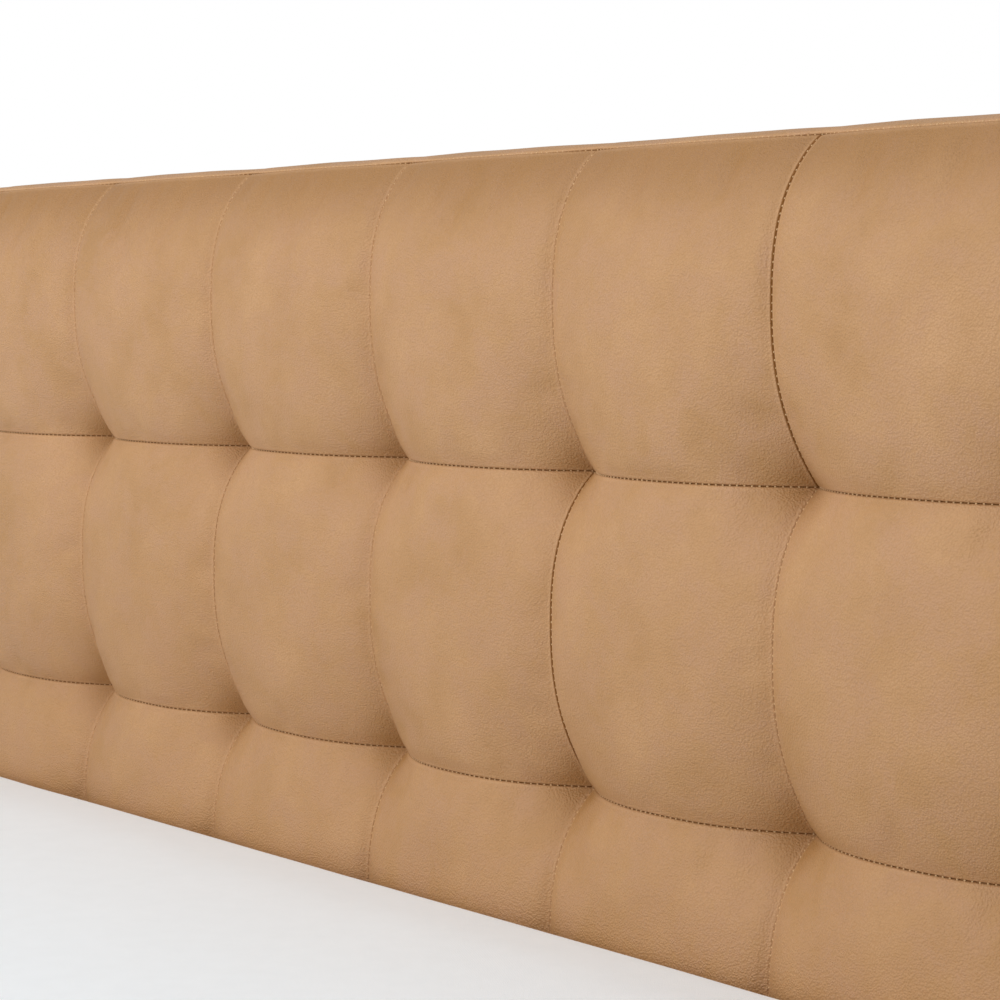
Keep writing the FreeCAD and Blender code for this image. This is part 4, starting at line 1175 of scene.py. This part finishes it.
def add_rail_seam(outline, level, radius):
    """Crowds points around the level seam on a rail's outer face."""
    face = np.flatnonzero(outline[:, 0] > outline[:, 0].max() - 0.004)
    first = face[np.argmin(np.abs(outline[face, 1] - level))]
    extra = level + np.array([-1, -0.55, -0.25, 0, 0.25, 0.55, 1]) * radius * 1.6
    below = int((outline[: first + 1, 1] < extra[0] - 0.001).sum())
    keep_low, rest = outline[:below], outline[below:]
    keep_high = rest[(rest[:, 1] > extra[-1] + 0.001) | (rest[:, 0] < outline[:, 0].max() - 0.02)]
    x = np.interp(extra, outline[face, 1], outline[face, 0])
    return np.concatenate([keep_low, np.stack([x, extra], axis=-1), keep_high])


def rail_section(inner, outer, low, high, core_inner):
    """Outline of a rail's leather, and the height of its level seam."""
    rail = settings("rail")
    outline = rail_outline(inner, outer, low, high, high - RAIL_FLAP, rail.edge_radius, rail.bulge)
    outline[:2, 0] = (core_inner, (core_inner + outer) / 2)
    level = high - rail.edge_radius - RAIL_SEAM_DROP
    return add_rail_seam(outline, level, settings("tuft").lip_radius), level


def build_rails():
    """Padded leather over the side rails and the foot rail."""
    for name, side in SIDES.items():
        low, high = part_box("side_rail_cover_" + name)
        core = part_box("side_rail_core_" + name)
        inner, outer = sorted((abs(low.x), abs(high.x)))
        section = rail_section(inner, outer, low.z, high.z, min(abs(core[0].x), abs(core[1].x)))
        run = high.y - low.y
        joints = [low.y, low.y + run / 2]
        sweep_rail(
            "side_rail_leather_" + name,
            section,
            low.y + seam_grid(run, 70, [0.0, run / 2]),
            lambda u, v, z, s=side: np.stack([s * u, v, z], axis=-1),
            (side, 0, 0.2),
            ["side_rail_cover_" + name, "side_rail_padding_" + name],
            joints,
        )
    low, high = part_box("foot_rail_cover")
    core_inner = -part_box("foot_rail_core")[1].y
    run = high.x - low.x
    sweep_rail(
        "foot_rail_leather",
        rail_section(-high.y, -low.y, low.z, high.z, core_inner),
        low.x + seam_grid(run, 60, [run / 2]),
        lambda u, v, z: np.stack([v, -u, z], axis=-1),
        (0, -1, 0.2),
        ["foot_rail_cover", "foot_rail_padding"],
        [low.x + run / 2],
        round_ends=(low.x, high.x, core_inner),
    )


def sweep_rail(name, section, along, place, outward, replaced, joints, round_ends=None):
    """Sweeps an outline along a rail, with a level seam and upright joints."""
    outline, level = section
    to_joint = distance_to_lines(along, joints)[:, None]
    u = np.broadcast_to(outline[None, :, 0], (len(along), len(outline))).copy()
    z = np.broadcast_to(outline[None, :, 1], u.shape).copy()
    v = np.broadcast_to(along[:, None], u.shape).copy()
    outer = outline[:, 0].max()
    face_start = outer - RAIL_FACE_DEPTH
    on_face = np.clip((outline[:, 0] - face_start) / 0.006, 0, 1)[None, :]
    to_level = np.where(outline[:, 0] > face_start, np.abs(outline[:, 1] - level), 1.0)[None, :]
    to_seam = np.minimum(to_level * np.ones_like(u), to_joint + (1 - on_face) * 0.004)
    wave = soft_noise(place(u, v, z), 0.16, 31)
    u += on_face * (0.0007 * wave * np.clip(to_seam / 0.03, 0, 1))
    drop = lip_drop(to_seam, settings("tuft").lip_radius)
    seam_path_u = u - drop * 0.45
    u -= drop * np.clip(on_face + 0.3, 0, 1)
    if round_ends is not None:
        first, last, root = round_ends
        inset = corner_inset(np.minimum(along - first, last - along), RAIL_END_CORNER)[:, None]
        depth = np.clip((u - root) / (outer - root), 0, 1)
        u -= inset * depth
        steps = np.linspace(1, 0.02, 6)
        caps_low = [np.stack([root + (u[0] - root) * k, v[0], z[0]], axis=-1) for k in steps[1:]]
        caps_high = [np.stack([root + (u[-1] - root) * k, v[-1], z[-1]], axis=-1) for k in steps[1:]]
        body = np.stack([u, v, z], axis=-1)
        body = np.concatenate([np.stack(caps_low[::-1]), body, np.stack(caps_high)], axis=0)
        u, v, z = body[..., 0], body[..., 1], body[..., 2]
        cap = np.full((len(caps_low), to_seam.shape[1]), FAR_FROM_SEAM)
        to_seam = np.concatenate([cap, to_seam, cap])
    points = place(u, v, z)
    piece = new_sheet(name, points, outward)
    # Seam marks for the painted lip highlight and groove shade along the rail's seams
    set_attribute(piece, "seam", seam_mark(to_seam))
    thicken(piece, LEATHER_THICKNESS)
    dress(piece, "leather")
    hand_over(piece, replaced=replaced)
    seam_column = int(np.argmin(to_level[0]))
    middle = slice(4, -4)
    path = place(seam_path_u[middle, seam_column], along[middle], np.full(len(along), level)[middle])
    note_seam(path, np.tile(place(1.0, 0.0, 0.0), (len(path), 1)), "ladder")
    to_row = np.where(outline[:, 0] > face_start, np.abs(outline[:, 1] - (level - TOP_STITCH_DROP)), 1.0)
    below = int(np.argmin(to_row))
    height = np.full(len(along), outline[below, 1])
    top_row = place(seam_path_u[middle, below] + 0.0002, along[middle], height[middle])
    note_seam(top_row, np.tile(place(1.0, 0.0, 0.0), (len(top_row), 1)), "top")
    for joint in joints:
        row = int(np.argmin(np.abs(along - joint)))
        if 4 < row < len(along) - 4:
            face = np.flatnonzero(on_face[0] > 0.99)
            path = place(seam_path_u[row, face], np.full(len(face), joint), outline[face, 1])
            note_seam(path, np.tile(place(1.0, 0.0, 0.0), (len(path), 1)), "ladder")


# Mattress


def rounded_box(low, high, radius, edge, cells):
    """Closed grid of a box with rounded upright corners and softer rims."""
    centre = (np.asarray(low) + np.asarray(high)) / 2
    half = (np.asarray(high) - np.asarray(low)) / 2
    crowded = np.array([0.0, 0.3, 0.7, 1.2, 2.0, 3.2]) * edge
    form = bmesh.new()
    bmesh.ops.create_cube(form, size=2.0)
    for axis, count in enumerate(cells):
        across = [e for e in form.edges if abs((e.verts[0].co - e.verts[1].co)[axis]) > 1e-6]
        bmesh.ops.subdivide_edges(form, edges=across, cuts=count - 1, use_grid_fill=True)
    points = np.array([v.co for v in form.verts])
    for axis, count in enumerate(cells):
        inside = np.linspace(crowded[-1], 2 * half[axis] - crowded[-1], count + 3 - 2 * len(crowded))
        lines = np.concatenate([crowded[:-1], inside, 2 * half[axis] - crowded[-2::-1]]) - half[axis]
        points[:, axis] = lines[np.rint((points[:, axis] + 1) / 2 * count).astype(int)]
    plan = half[:2] - radius
    past = np.clip(np.abs(points[:, :2]) - plan, 0, None)
    reach = np.hypot(past[:, 0], past[:, 1])
    share = np.where(reach > 0, past.max(axis=1) / np.maximum(reach, 1e-9), 1)
    points[:, :2] = np.sign(points[:, :2]) * (np.minimum(np.abs(points[:, :2]), plan) + past * share[:, None])
    past = np.clip(np.abs(points[:, :2]) - plan, 0, None)
    out = np.hypot(past[:, 0], past[:, 1]) - (radius - edge)
    up = np.abs(points[:, 2]) - (half[2] - edge)
    rim = (out > 0) & (up > 0)
    square = np.maximum(out, up)
    reach = np.hypot(out, up)
    scale = np.where(rim, square / np.maximum(reach, 1e-9), 1)
    direction = past / np.maximum(np.hypot(past[:, 0], past[:, 1]), 1e-9)[:, None]
    move = np.where(rim, out * scale - out, 0)
    points[:, :2] += np.sign(points[:, :2]) * direction * move[:, None]
    points[:, 2] = np.where(rim, np.sign(points[:, 2]) * (half[2] - edge + up * scale), points[:, 2])
    for vertex, point in zip(form.verts, points + centre):
        vertex.co = point
    mesh = bpy.data.meshes.new("soft_box")
    form.to_mesh(mesh)
    form.free()
    return mesh


def build_mattress():
    mattress = settings("mattress")
    low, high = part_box("mattress_cover")
    margin = MATTRESS_MARGIN
    start = Vector((low.x + margin, low.y + margin, low.z))
    end = Vector((high.x - margin, high.y + 0.001, high.z + margin))
    mesh = rounded_box(start, end, MATTRESS_CORNER, MATTRESS_RIM, MATTRESS_CELLS)
    mesh.name = "mattress_ticking"
    body = bpy.data.objects.new("mattress_ticking", mesh)
    bpy.context.scene.collection.objects.link(body)
    face_outwards(body)
    mesh.shade_smooth()
    points = mesh_points(mesh)
    held = points[:, 2] < low.z + MATTRESS_HELD_HEIGHT
    settled = drape(body, held, (0, 0, 0), 0.0, frames=16, pressure=mattress.pressure)
    body.vertex_groups.clear()
    points = points + capped(settled - points, mattress.swell)
    points[:, 0] = np.clip(points[:, 0], low.x, high.x)
    points[:, 1] = np.clip(points[:, 1], low.y, high.y + 0.002)
    points[:, 2] = np.clip(points[:, 2], low.z, high.z + mattress.swell)
    mesh.vertices.foreach_set("co", points.ravel())
    smooth = body.modifiers.new("finish", "SUBSURF")
    smooth.levels = smooth.render_levels = 1
    apply_modifiers(body)
    dress(body, "ticking")
    hand_over(body, MATTRESS_BODY, ["mattress_cover", "mattress_core"])
    build_piping(body, low, high, mattress.piping)


def build_piping(body, low, high, radius):
    """Taped cords sewn round the mattress at the top and bottom of its border."""
    surface = mesh_points(body.data)
    path, outward = mattress_outline(low, high)
    loops = []
    for level in (high.z - PIPING_BELOW_TOP, low.z + PIPING_ABOVE_BOTTOM):
        near = surface[np.abs(surface[:, 2] - level) < 0.02]
        reach = []
        for place, way in zip(path, outward):
            closest = near[np.argsort(np.hypot(*(near[:, :2] - place).T))[:4]]
            reach.append(((closest[:, :2] - place) @ way).max())
        reach = np.array(reach)
        even = sum(np.roll(reach, step) for step in (2, 1, 0, -1, -2)) / 5
        loop = path + outward * even[:, None]
        loop[:, 1] = np.minimum(loop[:, 1], high.y - radius)
        loops.append(np.column_stack([loop, np.full(len(loop), level)]))
    curve = bpy.data.curves.new("mattress_piping", "CURVE")
    curve.dimensions = "3D"
    curve.bevel_depth = radius
    curve.bevel_resolution = 3
    for loop in loops:
        spline = curve.splines.new("POLY")
        spline.points.add(len(loop) - 1)
        for point, place in zip(spline.points, loop):
            point.co = (*place, 1)
        spline.use_cyclic_u = True
    cord = bpy.data.objects.new("mattress_piping", curve)
    bpy.context.scene.collection.objects.link(cord)
    bpy.context.view_layer.update()
    mesh = bpy.data.meshes.new_from_object(cord.evaluated_get(bpy.context.evaluated_depsgraph_get()))
    bpy.data.objects.remove(cord)
    bpy.data.curves.remove(curve)
    piping = bpy.data.objects.new("mattress_piping", mesh)
    bpy.context.scene.collection.objects.link(piping)
    mesh.shade_smooth()
    face_outwards(piping)
    dress(piping, "tape")
    hand_over(piping, MATTRESS_BODY)


def mattress_outline(low, high, step=0.02):
    """Points round the mattress in plan, with the way out at each."""
    corner = MATTRESS_CORNER
    a, b = (high.x - low.x) / 2, (high.y - low.y) / 2
    centre = np.array([(low.x + high.x) / 2, (low.y + high.y) / 2])
    places, ways = [], []
    for quarter in range(4):
        middle = centre + [(a - corner) * (1, -1, -1, 1)[quarter], (b - corner) * (1, 1, -1, -1)[quarter]]
        for turn in np.linspace(quarter, quarter + 1, 7) * math.pi / 2:
            way = np.array([math.cos(turn), math.sin(turn)])
            places.append(middle + corner * way)
            ways.append(way)
        side = (2 * a if quarter in (0, 2) else 2 * b) - 2 * corner
        run = np.array([-ways[-1][1], ways[-1][0]])
        start = places[-1]
        for distance in np.arange(step, side, step):
            places.append(start + run * distance)
            ways.append(ways[-1])
    return np.array(places), np.array(ways)


# Stitches


def stitch_tree():
    """Geometry nodes that set one stitch at every pitch along each seam path."""
    tree = bpy.data.node_groups.new("stitch_row", "GeometryNodeTree")
    tree.interface.new_socket(name="Geometry", in_out="INPUT", socket_type="NodeSocketGeometry")
    for label in ("Pitch", "Along", "Across", "Height"):
        made = tree.interface.new_socket(name=label, in_out="INPUT", socket_type="NodeSocketFloat")
        made.default_value = 0.001
    tree.interface.new_socket(name="Seed", in_out="INPUT", socket_type="NodeSocketInt")
    tree.interface.new_socket(name="Thread", in_out="INPUT", socket_type="NodeSocketMaterial")
    tree.interface.new_socket(name="Geometry", in_out="OUTPUT", socket_type="NodeSocketGeometry")
    given, out = tree.nodes.new("NodeGroupInput").outputs, tree.nodes.new("NodeGroupOutput")
    path = add_node(tree, "GeometryNodeMeshToCurve", inputs={"Mesh": given["Geometry"]})
    rows = add_node(
        tree,
        "GeometryNodeResampleCurve",
        mode="LENGTH",
        inputs={"Curve": path.outputs["Curve"], "Length": given["Pitch"]},
    )
    facing = add_node(
        tree, "GeometryNodeInputNamedAttribute", data_type="FLOAT_VECTOR", inputs={"Name": "facing"}
    )
    tangent = tree.nodes.new("GeometryNodeInputTangent")
    along = add_node(
        tree, "FunctionNodeAlignRotationToVector", axis="X", inputs={"Vector": tangent.outputs["Tangent"]}
    )
    upright = add_node(
        tree,
        "FunctionNodeAlignRotationToVector",
        axis="Z",
        pivot_axis="X",
        inputs={"Rotation": along.outputs["Rotation"], "Vector": facing.outputs["Attribute"]},
    )
    bead = add_node(tree, "GeometryNodeMeshUVSphere", inputs={"Segments": 6, "Rings": 4, "Radius": 0.5})
    lengths = dict(zip("XYZ", (given["Along"], given["Across"], given["Height"])))
    size = add_node(tree, "ShaderNodeCombineXYZ", inputs=lengths)
    vary = add_node(
        tree, "FunctionNodeRandomValue", data_type="FLOAT", inputs={2: 0.85, 3: 1.15, "Seed": given["Seed"]}
    )
    scaled = add_node(
        tree, "ShaderNodeVectorMath", operation="SCALE", inputs={0: size.outputs[0], "Scale": vary.outputs[1]}
    )
    set_on = add_node(
        tree,
        "GeometryNodeInstanceOnPoints",
        inputs={
            "Points": rows.outputs["Curve"],
            "Instance": bead.outputs["Mesh"],
            "Rotation": upright.outputs["Rotation"],
            "Scale": scaled.outputs[0],
        },
    )
    real = add_node(tree, "GeometryNodeRealizeInstances", inputs={"Geometry": set_on.outputs["Instances"]})
    coat = add_node(
        tree,
        "GeometryNodeSetMaterial",
        inputs={"Geometry": real.outputs["Geometry"], "Material": given["Thread"]},
    )
    give(tree, out, Geometry=coat.outputs["Geometry"])
    return tree


def seam_paths(name, kind):
    """One mesh of edges along every noted seam of a kind."""
    places, facings, edges = [], [], []
    for points, normals, noted in SEAM_LINES:
        if noted != kind:
            continue
        start = len(places)
        places += points.tolist()
        facings += (normals / np.linalg.norm(normals, axis=1, keepdims=True)).tolist()
        edges += [(start + i, start + i + 1) for i in range(len(points) - 1)]
    mesh = bpy.data.meshes.new(name)
    mesh.from_pydata(places, edges, [])
    facing = mesh.attributes.new("facing", "FLOAT_VECTOR", "POINT")
    facing.data.foreach_set("vector", np.array(facings, np.float32).ravel())
    piece = bpy.data.objects.new(name, mesh)
    bpy.context.scene.collection.objects.link(piece)
    return piece


def sew(name, kind, sizes, tree):
    piece = seam_paths(name, kind)
    sewing = piece.modifiers.new("sewing", "NODES")
    sewing.node_group = tree
    values = dict(sizes, Seed=3, Thread=finish("thread"))
    for item in tree.interface.items_tree:
        if item.in_out == "INPUT" and item.name in values:
            sewing[item.identifier] = values[item.name]
    apply_modifiers(piece)
    piece.data.shade_smooth()
    hand_over(piece)


def build_stitches():
    stitch = settings("stitch")
    tree = stitch_tree()
    rows = {
        "seam_stitches": ("ladder", 0.0014, 0.0022, 0.0010),
        "upright_seam_stitches": ("upright", 0.0014, 0.0012, 0.0008),
        "rail_top_stitches": ("top", 0.0036, stitch.thread, stitch.thread * 0.9),
    }
    for name, (kind, along, across, height) in rows.items():
        sizes = {"Pitch": stitch.pitch, "Along": along, "Across": across, "Height": height}
        sew(name, kind, sizes, tree)


# Carried-over pieces


NODE_FINISHES = {
    "headboard_post_": "stained",
    "foot_leg_": "stained",
    "headboard_stile_": "pine_z",
    "headboard_top_rail": "pine_x",
    "headboard_middle_rail": "pine_x",
    "headboard_lower_rail": "pine_x",
    "foot_rail_core": "pine_x",
    "side_rail_core_": "pine_y",
    "side_rail_ledger_": "pine_y",
    "centre_beam": "pine_y",
    "foot_corner_block_": "pine_x",
    "headboard_packers": "beech",
    "headboard_frame_dowels": "beech",
    "slats": "beech",
    "headboard_plywood_panel": "plywood",
    "headboard_skirt_foam": "foam",
    "headboard_tuft_ties": "twine",
    "slat_webbing": "webbing",
    "head_brackets": "black_steel",
    "foot_brackets": "black_steel",
    "beam_hangers": "black_steel",
    "centre_leg_tube_": "black_steel",
    "centre_leg_inserts": "plastic",
    "leveller_pad_": "plastic",
    "glides": "plastic",
}


def dress_frame():
    """Gives every carried-over part its finish."""
    for name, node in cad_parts.items():
        if node.hide_render:
            continue
        wanted = [kind for start, kind in NODE_FINISHES.items() if name.startswith(start)]
        kind = wanted[0] if wanted else "zinc"
        for slot in node.material_slots:
            slot.link = "DATA"
        dress(node, kind)


# Stage


def build_stage():
    stage = settings("stage")
    scene = bpy.context.scene
    lens = bpy.data.cameras.new("view")
    lens.sensor_width = 36.0
    lens.lens = stage.lens
    lens.clip_start = 0.05
    lens.clip_end = 100.0
    camera = bpy.data.objects.new("view", lens)
    camera.location = stage.camera_place
    camera.rotation_euler = (math.pi / 2 - stage.tilt, 0.0, stage.heading)
    scene.collection.objects.link(camera)
    scene.camera = camera
    floor = new_piece("floor", [(-15, -15, 0), (15, -15, 0), (15, 15, 0), (-15, 15, 0)], [(0, 1, 2, 3)])
    pale, _, shader = new_finish("pale_floor", 0.7)
    shader.inputs["Base Color"].default_value = (0.84, 0.84, 0.84, 1)
    shader.inputs["Emission Color"].default_value = (1, 1, 1, 1)
    shader.inputs["Emission Strength"].default_value = 0.16
    floor.data.materials.append(pale)
    headboard, mattress = Vector((0.1, PULL_Y, 0.85)), Vector((0.0, -0.3, 0.0))
    add_light("key", (-0.3, -2.1, 2.0), headboard, 2.6, stage.key_power)
    add_light("overhead", (0.0, -0.4, 3.3), mattress, 1.8, stage.overhead_power)
    add_light("fill", (-2.6, -1.4, 2.2), headboard, 2.2, stage.fill_power)
    world = bpy.data.worlds.new("white_surroundings")
    world.use_nodes = True
    scene.world = world
    nodes = world.node_tree
    background = nodes.nodes["Background"]
    background.inputs["Color"].default_value = (1, 1, 1, 1)
    path = nodes.nodes.new("ShaderNodeLightPath")
    strength = add_node(
        nodes,
        "ShaderNodeMapRange",
        inputs={"Value": path.outputs["Is Camera Ray"], "To Min": stage.sky, "To Max": 1.0},
    )
    nodes.links.new(strength.outputs["Result"], background.inputs["Strength"])
    scene.view_settings.view_transform = "Standard"
    scene.view_settings.look = "None"


def add_light(name, place, target, size, power):
    light = bpy.data.lights.new(name, "AREA")
    light.size = size
    light.energy = power
    lamp = bpy.data.objects.new(name, light)
    lamp.location = place
    lamp.rotation_euler = (target - Vector(place)).to_track_quat("-Z", "Y").to_euler()
    bpy.context.scene.collection.objects.link(lamp)


# Operators


class BED_OT_stage(bpy.types.Operator):
    """Set the camera, floor and soft light"""

    bl_idname = "bed.stage"
    bl_label = "Stage"

    def execute(self, context):
        build_stage()
        return {"FINISHED"}


class BED_OT_tufted_cover(bpy.types.Operator):
    """Sew the tile field and fill it with foam"""

    bl_idname = "bed.tufted_cover"
    bl_label = "Tufted Cover"

    def execute(self, context):
        build_tufted_cover()
        build_foam()
        return {"FINISHED"}


class BED_OT_boxing(bpy.types.Operator):
    """Box the top and sides of the headboard"""

    bl_idname = "bed.boxing"
    bl_label = "Boxing"

    def execute(self, context):
        build_boxing()
        return {"FINISHED"}


class BED_OT_plain_panels(bpy.types.Operator):
    """Cover the back and the skirt of the headboard"""

    bl_idname = "bed.plain_panels"
    bl_label = "Back and Skirt"

    def execute(self, context):
        build_back_panel()
        build_skirt()
        return {"FINISHED"}


class BED_OT_rails(bpy.types.Operator):
    """Pad and cover the three rails"""

    bl_idname = "bed.rails"
    bl_label = "Padded Rails"

    def execute(self, context):
        build_rails()
        return {"FINISHED"}


class BED_OT_mattress(bpy.types.Operator):
    """Fill the mattress and tape its edges"""

    bl_idname = "bed.mattress"
    bl_label = "Mattress"

    def execute(self, context):
        build_mattress()
        return {"FINISHED"}


class BED_OT_stitches(bpy.types.Operator):
    """Sew every noted seam"""

    bl_idname = "bed.stitches"
    bl_label = "Stitches"

    def execute(self, context):
        build_stitches()
        return {"FINISHED"}


class BED_OT_frame_finishes(bpy.types.Operator):
    """Finish the timber, steel and plastic parts"""

    bl_idname = "bed.frame_finishes"
    bl_label = "Frame Finishes"

    def execute(self, context):
        dress_frame()
        return {"FINISHED"}


OPERATORS = (
    BED_OT_stage,
    BED_OT_tufted_cover,
    BED_OT_boxing,
    BED_OT_plain_panels,
    BED_OT_rails,
    BED_OT_mattress,
    BED_OT_stitches,
    BED_OT_frame_finishes,
)


class BED_PT_upholstery(bpy.types.Panel):
    """Lists the bed's sizes, finishes and making steps"""

    bl_label = "Bed Upholstery"
    bl_idname = "BED_PT_upholstery"
    bl_space_type = "VIEW_3D"
    bl_region_type = "UI"
    bl_category = "Bed"

    def draw(self, context):
        for operator in OPERATORS:
            self.layout.operator(operator.bl_idname)
        for name in GROUPS:
            group = settings(name)
            box = self.layout.box()
            for key in group.bl_rna.properties.keys():
                if key not in ("rna_type", "name"):
                    box.prop(group, key)


GROUPS = {
    "tuft": TuftSettings,
    "stitch": StitchSettings,
    "rail": RailSettings,
    "mattress": MattressSettings,
    "finish": FinishSettings,
    "stage": StageSettings,
}


def register():
    for name, group in GROUPS.items():
        bpy.utils.register_class(group)
        setattr(bpy.types.Scene, "bed_" + name, PointerProperty(type=group))
    for cls in (*OPERATORS, BED_PT_upholstery):
        bpy.utils.register_class(cls)


def unregister():
    for cls in (BED_PT_upholstery, *reversed(OPERATORS)):
        bpy.utils.unregister_class(cls)
    for name, group in GROUPS.items():
        delattr(bpy.types.Scene, "bed_" + name)
        bpy.utils.unregister_class(group)


def main():
    register()
    for operator in OPERATORS:
        module, name = operator.bl_idname.split(".")
        getattr(getattr(bpy.ops, module), name)()


if __name__ == "__main__":
    main()
